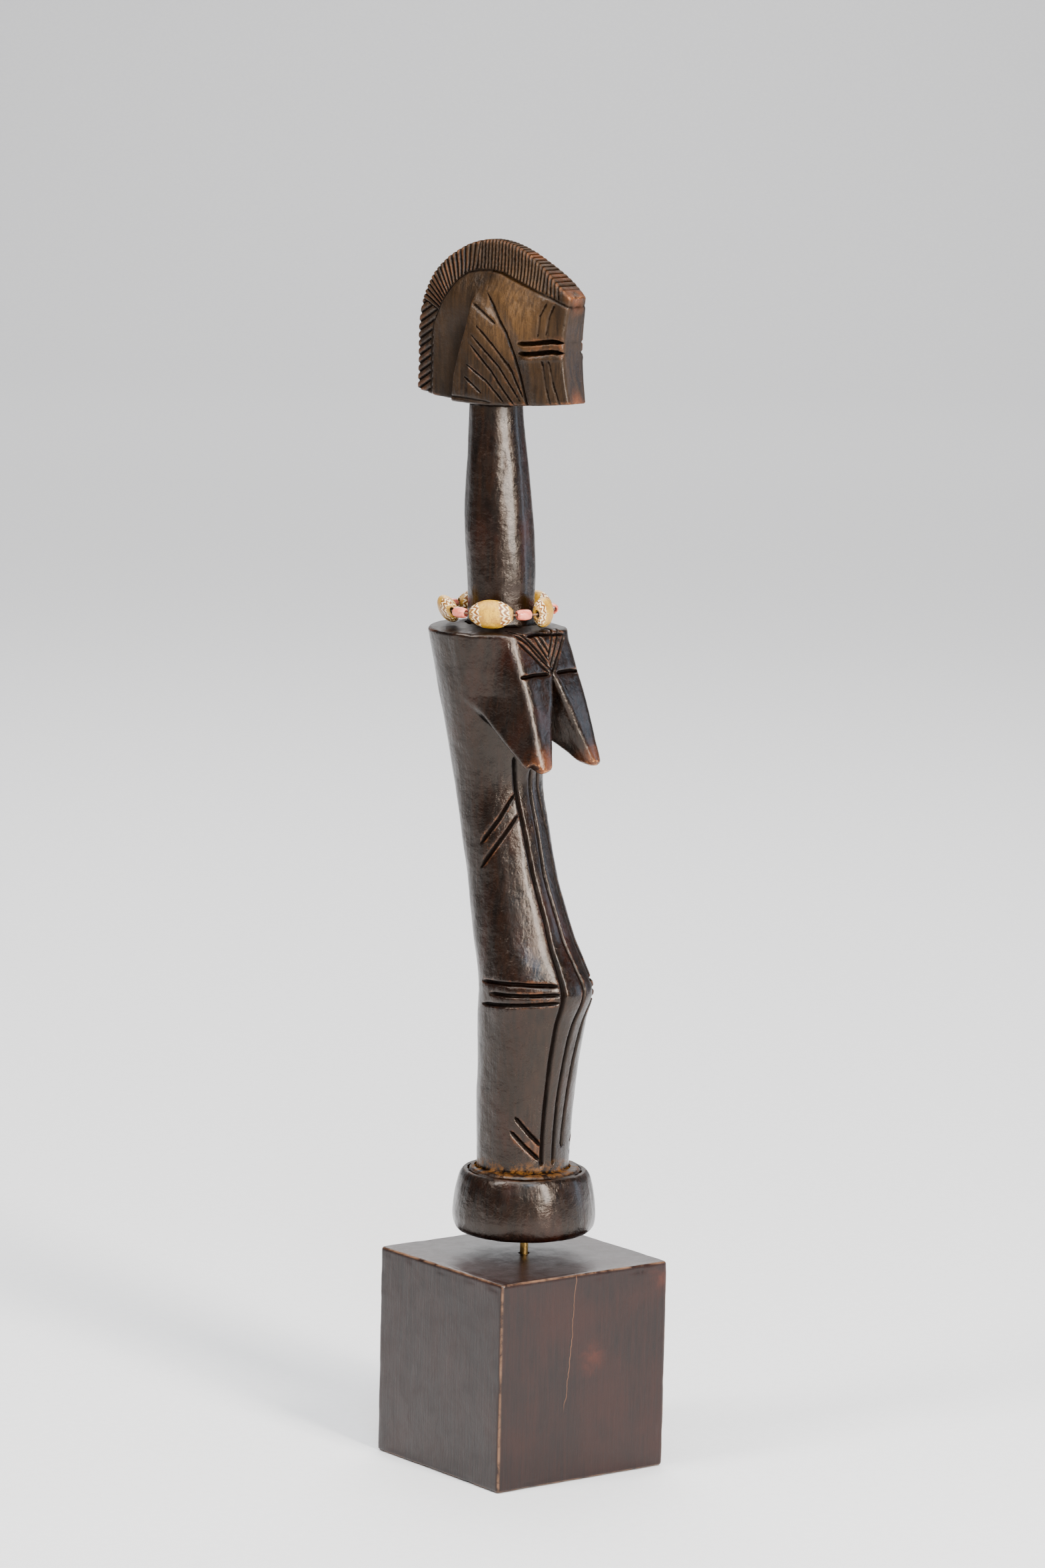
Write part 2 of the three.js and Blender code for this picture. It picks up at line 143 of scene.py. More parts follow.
def object_from(name, vertices, faces, material):
    """A new object from vertices in metres, finished with one material."""
    mesh = bpy.data.meshes.new(name)
    mesh.from_pydata([tuple(v) for v in vertices], [], [tuple(f) for f in faces])
    mesh.validate()
    mesh.update()
    mesh.materials.append(material)
    mesh.shade_smooth()
    piece = bpy.data.objects.new(name, mesh)
    bpy.context.scene.collection.objects.link(piece)
    return piece


def apply_modifier(piece, kind, **settings):
    """Adds one modifier and applies it to the mesh."""
    modifier = piece.modifiers.new(kind.lower(), kind)
    for key, value in settings.items():
        setattr(modifier, key, value)
    evaluated = piece.evaluated_get(bpy.context.evaluated_depsgraph_get())
    mesh = bpy.data.meshes.new_from_object(evaluated)
    piece.modifiers.remove(modifier)
    old = piece.data
    piece.data = mesh
    bpy.data.meshes.remove(old)


def add_attribute(piece, name, values):
    """One number per vertex, which the material reads by name."""
    layer = piece.data.attributes.new(name, "FLOAT", "POINT")
    layer.data.foreach_set("value", np.asarray(values, np.float32))


def mesh_places(piece):
    """Rows of a mesh's vertices, in metres."""
    place = np.empty(len(piece.data.vertices) * 3, np.float32)
    piece.data.vertices.foreach_get("co", place)
    return place.reshape(-1, 3)


def curvature(piece, rounds):
    """Curvature round each vertex in 1/mm, above 0 where it stands out, and each vertex's place in mm."""
    place = mesh_places(piece).astype(float) / MM
    count = len(place)
    normal = np.empty(count * 3, np.float32)
    piece.data.vertex_normals.foreach_get("vector", normal)
    edges = np.empty(len(piece.data.edges) * 2, int)
    piece.data.edges.foreach_get("vertices", edges)
    a, b = edges.reshape(-1, 2).T

    def around(values):
        """The mean of each vertex's neighbours."""
        return (np.bincount(a, values[b], count) + np.bincount(b, values[a], count)) / neighbours

    neighbours = np.maximum(np.bincount(a, None, count) + np.bincount(b, None, count), 1)
    squares = ((place[a] - place[b]) ** 2).sum(1)
    mean_square = (np.bincount(a, squares, count) + np.bincount(b, squares, count)) / neighbours
    smoothed = place
    for _ in range(rounds):
        smoothed = np.stack([around(smoothed[:, k]) for k in range(3)], 1)
    bent = 4 * ((place - smoothed) * normal.reshape(-1, 3)).sum(1) / (rounds * mean_square)
    for _ in range(2):
        bent = 0.5 * bent + 0.5 * around(bent)
    return bent, place


# ---------------------------------------------------------------- the doll's shape

# Levels and places in millimetres; x runs across the doll, ahead towards its front, level up.
FOOT_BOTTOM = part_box("carved_figure")[0].z / MM
HEAD_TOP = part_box("carved_figure")[1].z / MM
DOLL_TURN = math.radians(12.7)
FOOT_HEIGHT, LEG_HEIGHT, TRUNK_HEIGHT = 20.6, 51.6, 102.7
ANKLE = FOOT_BOTTOM + FOOT_HEIGHT
KNEE = ANKLE + LEG_HEIGHT
SHOULDER = KNEE + TRUNK_HEIGHT
SHOULDER_RISE = 1.8
NECK_BASE = SHOULDER + SHOULDER_RISE
HEAD_HEIGHT, HEAD_DEPTH, HEAD_AHEAD = 47.9, 58.8, -17
HEAD_BOTTOM = HEAD_TOP - HEAD_HEIGHT
BREAST_DROP = 38.3
SHOULDER_AHEAD, SHOULDER_RADIUS = -15.5, 20
PIN_HOLE_RADIUS, PIN_HOLE_DEPTH = 1.5, 26
FIGURE_VOXEL = 0.28
FIGURE_TRIANGLES = 190_000

# level, centre ahead, radius, stretch of the front half
TRUNK = [
    (ANKLE - 3, -1.3, 13.4, 1),
    (ANKLE + 0.23 * LEG_HEIGHT, -1.2, 13.8, 1),
    (ANKLE + 0.54 * LEG_HEIGHT, -0.4, 14.55, 1.01),
    (ANKLE + 0.83 * LEG_HEIGHT, 0.6, 15.6, 1.04),
    (KNEE, 1.7, 16.3, 1.08),
    (KNEE + 0.07 * TRUNK_HEIGHT, -0.2, 15.5, 1.05),
    (KNEE + 0.15 * TRUNK_HEIGHT, -3.1, 14.5, 1.01),
    (KNEE + 0.29 * TRUNK_HEIGHT, -7.2, 13.2, 1),
    (KNEE + 0.44 * TRUNK_HEIGHT, -10.8, 12.8, 1),
    (KNEE + 0.59 * TRUNK_HEIGHT, -14, 13, 1),
    (SHOULDER, SHOULDER_AHEAD, SHOULDER_RADIUS, 1),
    (SHOULDER + 4, SHOULDER_AHEAD - 0.2, SHOULDER_RADIUS + 0.6, 1),
]
NECK = [
    (NECK_BASE - 3, -14.1, 9.9), (NECK_BASE + 6, -14.2, 9.65), (NECK_BASE + 14, -14.4, 9.85),
    (NECK_BASE + 27, -15.5, 9.95), (NECK_BASE + 41, -16.4, 9.2), (NECK_BASE + 49, -16.8, 8.6),
    (NECK_BASE + 57, -17.4, 8), (HEAD_BOTTOM + 4, -17.8, 7.5),
]
# share of the foot's height, radius
FOOT = [
    (-0.05, 17), (0, 18.2), (0.05, 19.6), (0.16, 20.5),
    (0.3, 20.75), (0.6, 20.1), (0.84, 18.9), (1.05, 17.6),
]

# Each corner of one breast's outline from above, followed down it: (share of its drop, out, ahead).
BREAST_OUTER = [(0, 20, -15), (0.25, 18.1, -15), (0.46, 16.4, -14.4), (1, 15.2, 9.2)]
BREAST_RIDGE = [(0, 12.6, 0.5), (0.31, 12.9, 5.4), (0.6, 13.3, 9.8), (1, 14.1, 14.3)]
BREAST_INNER = [(0, -1, 1.8), (0.3, -1, 6.4), (0.36, 0.2, 7.2), (1, 8.7, 14.9)]
BREAST_ROOT = [(0, -1, -14), (0.57, 2, -11), (0.8, 5, -2), (0.9, 7.2, 3.6), (1, 9, 8.6)]


def facets(angle, count, phase, depth):
    """The slight flats that an adze leaves round a column, as a share of its radius."""
    return 1 - depth * np.abs(np.sin(count / 2 * (angle + phase))) ** 3


def trunk_field(x, ahead, level):
    """Leg and trunk, capped by the low dome of the shoulders."""
    centre, radius, stretch = smooth_stations(TRUNK, level)
    offset = ahead - centre
    offset = np.where(offset > 0, offset / stretch, offset)
    angle = np.arctan2(x, offset)
    flats = step_up(SHOULDER - 22, SHOULDER - 45, level) * 0.016
    side = (np.hypot(x, offset) - radius * facets(angle, 7, 0.35, flats)) * 0.97
    from_neck = np.hypot(x, ahead - SHOULDER_AHEAD)
    dome = level - (NECK_BASE - SHOULDER_RISE * np.clip((from_neck - 8) / 12, 0, 1))
    chest = (ahead - 1.8 - 0.42 * (SHOULDER - level)) * 0.92
    return smooth_max(smooth_max(side, chest, 1.6), dome, 1.1)


def breast_field(x, ahead, level):
    """Both breasts: four-cornered wedges whose corners follow their own tracks down to the tips."""
    out = np.abs(x)
    share = np.clip((SHOULDER - level) / BREAST_DROP, 0, 1)
    tracks = (BREAST_OUTER, BREAST_RIDGE, BREAST_INNER, BREAST_ROOT)
    corners = [corner_at(track, share) for track in tracks]
    field = None
    for (u0, v0), (u1, v1) in zip(corners, corners[1:] + corners[:1]):
        du, dv = u1 - u0, v1 - v0
        edge = ((ahead - v0) * du - (out - u0) * dv) / np.hypot(du, dv) * -1
        field = edge if field is None else smooth_max(field, edge, 2.8)
    field = field * 0.9
    field = smooth_max(field, (SHOULDER - BREAST_DROP) - level, 2.2)
    return smooth_max(field, level - SHOULDER, 1.1)


def corner_at(track, share):
    """A corner's place at each share of the drop, along straight stretches."""
    shares, outs, aheads = zip(*track)
    out = np.interp(share, shares, outs)
    ahead = np.interp(share, shares, aheads)
    return out.astype(np.float32), ahead.astype(np.float32)


def neck_field(x, ahead, level):
    """The long neck, swelling at its middle."""
    centre, radius = smooth_stations(NECK, level)
    angle = np.arctan2(x, ahead - centre)
    side = np.hypot(x, ahead - centre) - radius * facets(angle, 8, 0.2, 0.02)
    return np.maximum(side, np.maximum(NECK_BASE - 4 - level, level - HEAD_BOTTOM - 4))


def foot_field(x, ahead, level):
    """The thick round foot with its rolled top edge and a ring cut round the ankle."""
    radius, = smooth_stations(FOOT, (level - FOOT_BOTTOM) / FOOT_HEIGHT)
    from_axis = np.hypot(x, ahead + 0.5)
    angle = np.arctan2(x, ahead)
    side = from_axis - radius * facets(angle, 9, 0.6, 0.012)
    top = level - (ANKLE - 0.9) + 0.12 * np.maximum(from_axis - 13, 0)
    ring = 0.9 - np.hypot(from_axis - 16.6, level - ANKLE + 1.2)
    under = FOOT_BOTTOM - level + 0.0009 * from_axis ** 2
    block = smooth_max(smooth_max(side, top, 2.6), under, 2.4)
    return smooth_max(block, ring, 0.5)


# ---------------------------------------------------------------- the head's shape

# On the head, forward is measured from its middle and up from its lower edge.
PANEL_EDGE = [(-4, 30.5), (-5.2, 22.9), (-8, 15.1), (-9.8, 9.2), (-11.6, -3)]
TEMPLE_CUT = [(0.6, 33), (3.8, 28.3), (8.8, 22.1), (12, 15.7), (14.1, 10.1), (17.6, -3)]
CREST_BACK = -22.4
CREST_LINE = [
    (CREST_BACK, -2), (CREST_BACK, 19), (-21.4, 23), (-18.1, 28), (-14.6, 32.3),
    (-11.3, 36.1), (-8.3, 38.1), (-4.8, 38.9), (0.1, 39.2), (4, 38.7),
    (8.2, 37.3), (16.5, 34.9), (23, 32.9), (30, 29.8),
]
PANEL_LINES = [
    [(-3.9, 30), (4.9, 24.2)], [(-1.7, 23.8), (3.6, 19.1), (12.5, 10.4)],
    [(-3.5, 21.2), (6.7, 12.4), (14.3, 2.7)], [(-4, 18.7), (4.4, 10.8), (11.2, 2.3)],
    [(-4.9, 12.5), (2.6, 8), (9.1, 2)], [(-5.3, 8.7), (0.9, 4.4)], [(4.9, 18), (12.1, 10)],
    [(5.6, 8.9), (12.6, 1.2)], [(9.4, 14.4), (15.2, 3.4)],
]
PANEL_BORDER = [(-13.5, 2.8), (-4.6, 2.6), (4.6, 2)]
EYE_CUTS = [
    [(13.7, 19.4), (18.3, 19.7), (24.2, 20.6), (27.4, 20.3)],
    [(13.7, 16.6), (18.4, 16.8), (24.3, 17.7), (27.5, 17.4)],
]
FACE_LINES = [
    [(22.6, 31.9), (20.6, 27.5), (20.3, 21.3)], [(24.9, 31.5), (23.4, 27.6), (22.6, 21.9)],
    [(21.7, 15.3), (23, 7.8), (24.6, 1.5)], [(23.6, 15.4), (25, 8.9), (27.3, 1.5)],
]
# Where the cuts over the crown fan out from.
FAN_CENTRE = (-6, 22)
# Half the head's width, along it from back to front and up it from its lower edge.
HALF_WIDTH_ALONG = [
    (-HEAD_DEPTH / 2 - 1, 1.7), (-HEAD_DEPTH / 2 + 6, 3.6), (-13, 7.2), (-6, 9), (1, 9.9), (12, 9.2),
    (22, 6.5), (HEAD_DEPTH / 2 + 1, 3.4),
]
HALF_WIDTH_UP = [(-3, 9.6), (14, 10), (24, 9.4), (32, 7), (39, 4.4), (44, 3.2), (50, 1.9)]


def bezier(points, count):
    """Points on a cubic curve, without the last."""
    t = np.linspace(0, 1, count, endpoint=False)[:, None]
    a, b, c, d = np.array(points, float)
    return (1 - t) ** 3 * a + 3 * t * (1 - t) ** 2 * b + 3 * t * t * (1 - t) * c + t ** 3 * d


def head_outline():
    """The head from the side: a curved lower edge, a straight back, a round crown and a hollow face."""
    half, top = HEAD_DEPTH / 2, HEAD_HEIGHT
    runs = [
        [(-half, 3), (-0.45 * half, 0.4), (0.3 * half, 0.5), (half, 3)],
        [(half, 3), (half - 2.6, 0.3 * top), (half - 2.8, 0.45 * top), (half - 0.4, 0.69 * top)],
        [(half - 0.4, 0.69 * top), (0.66 * half, 0.86 * top), (0.3 * half, top), (-0.04 * half, top)],
        [(-0.04 * half, top), (-0.5 * half, top), (-half, 0.73 * top), (-half, 0.44 * top)],
        [(-half, 0.44 * top), (-half, 0.3 * top), (-half, 0.15 * top), (-half, 3)],
    ]
    return np.concatenate([bezier(run, 12) for run in runs])


def inside_polygon(u, v, polygon):
    """True where a plane's points lie in a closed polygon."""
    inside = np.zeros(np.broadcast(u, v).shape, bool)
    for (u0, v0), (u1, v1) in zip(polygon, np.roll(polygon, -1, axis=0)):
        if v0 != v1:
            crosses = ((v0 > v) != (v1 > v)) & (u < (u1 - u0) * (v - v0) / (v1 - v0) + u0)
            inside ^= crosses
    return inside


def side_of(u, v, points):
    """Signed distance to a polyline that runs from top to bottom: above 0 in front of it."""
    distance, _ = line_distance(u, v, points)
    us, vs = zip(*sorted(points, key=lambda point: point[1]))
    return np.where(u > np.interp(v, vs, us), distance, -distance)


def rows(value, spacing, half_width):
    """1 on evenly spaced lines, falling to 0 at half_width from them; value and spacing share a unit."""
    return np.clip(1 - np.abs(value / spacing - np.round(value / spacing)) * spacing / half_width, 0, 1)


def crest_hatch(u, v):
    """Cuts across the crest band: slanted up the back, fanned over the crown, upright at the front."""
    from_u, from_v = u - FAN_CENTRE[0], v - FAN_CENTRE[1]
    fan = np.arctan2(from_u, from_v)
    fanned = rows(fan, 0.078, 0.5 / np.maximum(np.hypot(from_u, from_v), 6))
    upright = rows(from_u + 0.15 * (from_v - 20), 1.25, 0.42) * 0.7
    slanted = rows(v - 0.5 * u - 0.75, 2.4, 0.62) * 1.1
    lines = np.where(from_u > 0, upright, np.where(fan > -1.25, fanned, slanted))
    return lines * step_up(27, 25.8, u)


def in_crest(u, v):
    """1 in the band that runs up the back and over the crown."""
    us, vs = zip(*CREST_LINE[2:])
    return np.where((u < CREST_BACK) | (v > np.where(u < us[0], -9, np.interp(u, us, vs))), 1, 0)


def incisions(u, v):
    """Depth of the fine cuts on the head's side."""
    crest, _ = line_distance(u, v, CREST_LINE)
    depth = 0.7 * crest_hatch(u, v) * in_crest(u, v) * step_up(0, 0.8, crest)
    depth = np.maximum(depth, 0.6 * np.clip(1 - crest / 0.55, 0, 1))
    for line in PANEL_LINES:
        depth = np.maximum(depth, groove(u, v, line, 0.85, 0.5, taper=0.15))
    for line in FACE_LINES:
        depth = np.maximum(depth, groove(u, v, line, 1.0, 0.38))
    for cut in EYE_CUTS:
        depth = np.maximum(depth, groove(u, v, cut, 1.5, 1.7, taper=0.12))
    depth = np.maximum(depth, groove(u, v, TEMPLE_CUT, 1.4, 0.8, taper=0.1))
    return np.maximum(depth, groove(u, v, PANEL_BORDER, 0.9, 0.5))


def valley(u, v):
    """The hollow behind the panel, steep against the panel's edge and fading towards the crown."""
    panel = side_of(u, v, PANEL_EDGE)
    crest, _ = line_distance(u, v, CREST_LINE)
    across = step_up(-13, -2.2, panel) * step_up(0.3, -1.8, panel)
    return across * (1 - in_crest(u, v)) * step_up(0, 5, crest) * step_up(36, 20, v)


def head_relief(u, v):
    """Half the head's width at each place on its side, with every cut and hollow."""
    along, = smooth_stations(HALF_WIDTH_ALONG, u)
    upward, = smooth_stations(HALF_WIDTH_UP, v)
    width = smooth_min(along, upward, 2.5)
    panel = side_of(u, v, PANEL_EDGE)
    temple = side_of(u, v, TEMPLE_CUT)
    crest, _ = line_distance(u, v, CREST_LINE)
    below_crest = 1 - in_crest(u, v)
    width = width - 2.6 * valley(u, v)
    # the panel falls from its edge to the cut at the foot of the rounded temple
    on_panel = step_up(-0.4, 0.4, panel) * step_up(0.3, -0.3, temple) * step_up(34, 28, v)
    across = np.clip(panel / np.maximum(panel - temple, 0.5), 0, 1)
    width = width + on_panel * (0.5 - 2.1 * across)
    flank = step_up(-0.3, 0.3, temple) * (1 - step_up(0, 5, temple)) * step_up(34, 28, v)
    width = width - 1.2 * flank + 0.4 * step_up(0.5, 6, temple) * step_up(18, 9, temple) * below_crest
    brow = np.clip(1 - line_distance(u, v, [(15, 15), (27, 15.8)])[0] / 0.9, 0, 1)
    return width + 0.3 * brow - 0.3 * in_crest(u, v) * step_up(0, 0.5, crest) - incisions(u, v)


def head_field(x, ahead, level):
    """The head from its outline and its relief, both of which depend only on the side view."""
    u, v = (ahead - HEAD_AHEAD)[0, :, :], (level - HEAD_BOTTOM)[0, :, :]
    u, v = np.broadcast_arrays(u, v)
    outline = head_outline()
    distance, _ = line_distance(u, v, np.concatenate([outline, outline[:1]]))
    outside = np.where(inside_polygon(u, v, outline), -distance, distance)
    outside = outside + 0.22 * crest_hatch(u, v) * step_up(-4, -1, outside) * in_crest(u, v)
    relief = head_relief(u, v)
    return smooth_max((np.abs(x) - relief[None]) * 0.9, outside[None].astype(np.float32), 0.9)


# ---------------------------------------------------------------- scored lines and tool marks

# Lines on the trunk as (angle from the front in degrees, level); the doll's own right side is below 0.
LONG_LINES = [
    [(-27, ANKLE + 1), (-25, 120), (-21.5, 141), (-18, 160), (-22, 178), (-26, 195), (-29, 207)],
    [(-10, ANKLE + 1), (-8, 112), (-4, 126), (3, 137), (6, 141),
     (3, 152), (2, 162), (-2, 174), (-3.5, 203)],
    [(5, ANKLE + 6), (9, 112), (13, 124), (20, 134), (28, 141),
     (27, 160), (23, 178), (17, 192), (11, 203)],
]
# These are cut on both sides.
SIDE_LINES = [
    [(26, 196.5), (54, 189), (86, 181.5)], [(26, 190.5), (58, 182.7), (92, 174.5)],
    [(22, 142.8), (63, 143), (117, 142.4)], [(22, 140.4), (60, 139.8), (104, 139.4)],
    [(23, 138), (117, 135.8)],
    [(27, 95), (44, 99), (62, 103.8)], [(29, 91), (48, 95), (67, 99.6)],
]
# Lines on the chest as (across, drop from the shoulders).
CHEST_LINES = [
    [(-10.8, 1.6), (-6.3, 6), (-3.6, 8.9), (-1.2, 11)],
    [(-11.4, -0.4), (-7.4, 2.4), (-4.8, 5.5), (-0.3, 10)],
    [(-9.9, -1), (-7.6, 0.9), (-3.1, 5.7), (-0.7, 8.8)], [(-4.5, 0), (-3.1, 3.1), (-0.4, 7.4)],
    [(-2.6, 0), (-1.4, 2.1), (0.2, 5.4)], [(4.6, -1), (2.7, 2.1), (-0.3, 6.6)],
    [(7.1, -0.6), (5, 2.3), (2.4, 5.7), (-0.1, 9.4)], [(9.2, 1), (6.3, 4.3), (3.9, 6.8), (0.2, 10.7)],
    [(-7.8, 0.5), (-2.7, 0.3), (3.1, 0.7), (9.6, 1)],
]
BREAST_LINE = [(1.5, 11.2), (8, 11.1), (12.6, 11.6)]
# The arc length of one degree on the trunk, taken as if its radius were the same all the way up.
DEGREE = math.radians(14.5)


def scoring(points):
    """Depth of the scored lines at rows of points near the surface."""
    x, ahead, level = points.T
    depth = np.zeros(len(points), np.float32)
    on_trunk = (level < SHOULDER - 30) & (level > ANKLE - 1)
    centre, _, _ = smooth_stations(TRUNK, level[on_trunk])
    angle = np.degrees(np.arctan2(x[on_trunk], ahead[on_trunk] - centre))
    cuts = np.zeros(on_trunk.sum(), np.float32)
    for lines, turn, width, deep, taper in (
            (LONG_LINES, angle, 1.7, 0.75, 0.01), (SIDE_LINES, np.abs(angle), 1.5, 0.85, 0.1)):
        for line in lines:
            unrolled = [(degrees * DEGREE, at_level) for degrees, at_level in line]
            cut = groove(turn * DEGREE, level[on_trunk], unrolled, width, deep, taper)
            cuts = np.maximum(cuts, cut)
    depth[on_trunk] = cuts
    on_chest = (level > SHOULDER - 20) & (ahead > -4)
    u, v = x[on_chest], SHOULDER - level[on_chest]
    cuts = np.zeros(on_chest.sum(), np.float32)
    for line in CHEST_LINES:
        cuts = np.maximum(cuts, groove(u, v, line, 1.15, 0.7, 0.12))
    for side in (-1, 1):
        line = [(side * across, drop) for across, drop in BREAST_LINE]
        cuts = np.maximum(cuts, groove(u, v, line, 1.4, 0.85, 0.1))
    depth[on_chest] = np.maximum(depth[on_chest], cuts)
    return depth


def tool_marks(points):
    """Slight unevenness of hand carving: broad waves, and finer dents that run along the grain."""
    broad = lattice_noise(points, 9.0, SEED)
    along = lattice_noise(points / (1, 1, 2.6), 2.6, SEED + 1)
    fine = lattice_noise(points / (1, 1, 2), 1.1, SEED + 2)
    return 0.16 * broad + 0.07 * along + 0.03 * fine


def window(field, low, high, voxel, origin):
    """The part of a dense field between two corners, and open coordinate grids for it."""
    first = np.floor((np.array(low) - origin) / voxel).astype(int).clip(0)
    last = np.minimum(np.ceil((np.array(high) - origin) / voxel).astype(int), field.shape)
    part = tuple(slice(a, b) for a, b in zip(first, last))
    axes = [origin[k] + voxel * np.arange(first[k], last[k], dtype=np.float32) for k in range(3)]
    return part, [axes[0][:, None, None], axes[1][None, :, None], axes[2][None, None, :]]


def figure_mesh():
    """The whole figure, in millimetres along its own axes."""
    voxel = FIGURE_VOXEL
    origin = np.array([-23.5, -48.5, FOOT_BOTTOM - 1.5])
    high = np.array([23.5, 23, HEAD_TOP + 1.5])
    field = np.full(np.ceil((high - origin) / voxel).astype(int), 3, np.float32)
    stages = [
        (trunk_field, (-22, -38, ANKLE - 4), (22, 22, NECK_BASE + 2), 0.5),
        (foot_field, (-23.5, -24, FOOT_BOTTOM - 1.5), (23.5, 23, ANKLE + 2), 0.5),
        (breast_field, (-22, -18, SHOULDER - BREAST_DROP - 2), (22, 20, SHOULDER + 2), 1.6),
        (neck_field, (-12, -30, NECK_BASE - 5), (12, -2, HEAD_BOTTOM + 5), 0.8),
        (head_field, (-13, -48.5, HEAD_BOTTOM - 2), (13, 15, HEAD_TOP + 1.5), 0.4),
    ]
    for shape, low, top, blend in stages:
        part, (x, ahead, level) = window(field, low, top, voxel, origin)
        field[part] = smooth_min(field[part], shape(x, ahead, level).astype(np.float32), blend)
    near = np.argwhere(np.abs(field) < 1.6)
    points = (origin + near * voxel).astype(np.float32)
    change = scoring(points) + tool_marks(points) * np.where(points[:, 2] > HEAD_BOTTOM, 0.5, 1)
    field[tuple(near.T)] += change
    low, top = (-4, -4, FOOT_BOTTOM - 1.5), (4, 4, FOOT_BOTTOM + 30)
    part, (x, ahead, level) = window(field, low, top, voxel, origin)
    hole = smooth_max(np.hypot(x, ahead) - PIN_HOLE_RADIUS, level - FOOT_BOTTOM - PIN_HOLE_DEPTH, 0.3)
    field[part] = np.maximum(field[part], -hole)
    return mesh_from_field(field, origin, voxel)


def doll_to_row(points):
    """From the doll's own millimetres to metres in the row frame."""
    x, ahead, level = points.T
    y = -ahead
    cos, sin = math.cos(DOLL_TURN), math.sin(DOLL_TURN)
    return np.stack([cos * x - sin * y, sin * x + cos * y, level], 1) * MM


def row_to_doll(places):
    """From millimetres in the row frame to the doll's own."""
    x, y, level = places.T
    cos, sin = math.cos(DOLL_TURN), math.sin(DOLL_TURN)
    return np.stack([cos * x + sin * y, -(cos * y - sin * x), level], 1).astype(np.float32)


# Where handling has rubbed the wood bare: across, ahead, level and reach.
TIP = SHOULDER - BREAST_DROP
RUBBED_SPOTS = [
    (-11.4, 12, TIP + 1, 5), (11.4, 12, TIP + 1, 5),
    (0, 12, HEAD_BOTTOM + 33.8, 4.2), (0, 12.8, HEAD_BOTTOM + 2.6, 3),
    (0, 6, HEAD_BOTTOM + 40, 3), (0, -3, HEAD_BOTTOM + 45.5, 3),
]
# Where a paler patch of painted light lies on the head's sides: forward, up and reach.
TEMPLE = (10, 28, 9)


def make_figure(material):
    """The doll, with the numbers that its material reads at each vertex."""
    vertices, quads = figure_mesh()
    figure = object_from("figure_carving", doll_to_row(vertices), quads, material)
    apply_modifier(figure, "DECIMATE", ratio=min(1, FIGURE_TRIANGLES / (2 * len(quads))))
    figure.data.shade_smooth()
    bent, place = curvature(figure, 5)
    own = row_to_doll(place)
    on_head = own[:, 2] > HEAD_BOTTOM + 0.5
    forward, up = own[:, 1] - HEAD_AHEAD, own[:, 2] - HEAD_BOTTOM
    cuts = scoring(own)
    cuts[on_head] = incisions(forward[on_head], up[on_head])
    # painted shade: the valley behind the head's panel is stored for the material to darken
    shade = np.zeros(len(own))
    shade[on_head] = valley(forward[on_head], up[on_head])
    spots = [np.linalg.norm((own - spot) / (1, 1, 1.3), axis=1) / reach for *spot, reach in RUBBED_SPOTS]
    temple = np.hypot((forward - TEMPLE[0]) / TEMPLE[2], (up - TEMPLE[1]) / TEMPLE[2])
    add_attribute(figure, "scored", np.clip(cuts / 0.5, 0, 1))
    add_attribute(figure, "rubbed", np.clip(1.25 - np.min(spots, axis=0), 0, 1))
    # the curvature serves the worn edges and also the hollows, which the material darkens as painted
    # shade
    add_attribute(figure, "worn", np.clip(bent, -1, 1))
    add_attribute(figure, "lit_temple", np.clip(1.6 - temple, 0, 1) * on_head)
    add_attribute(figure, "shade", shade)
    return figure


# ---------------------------------------------------------------- materials

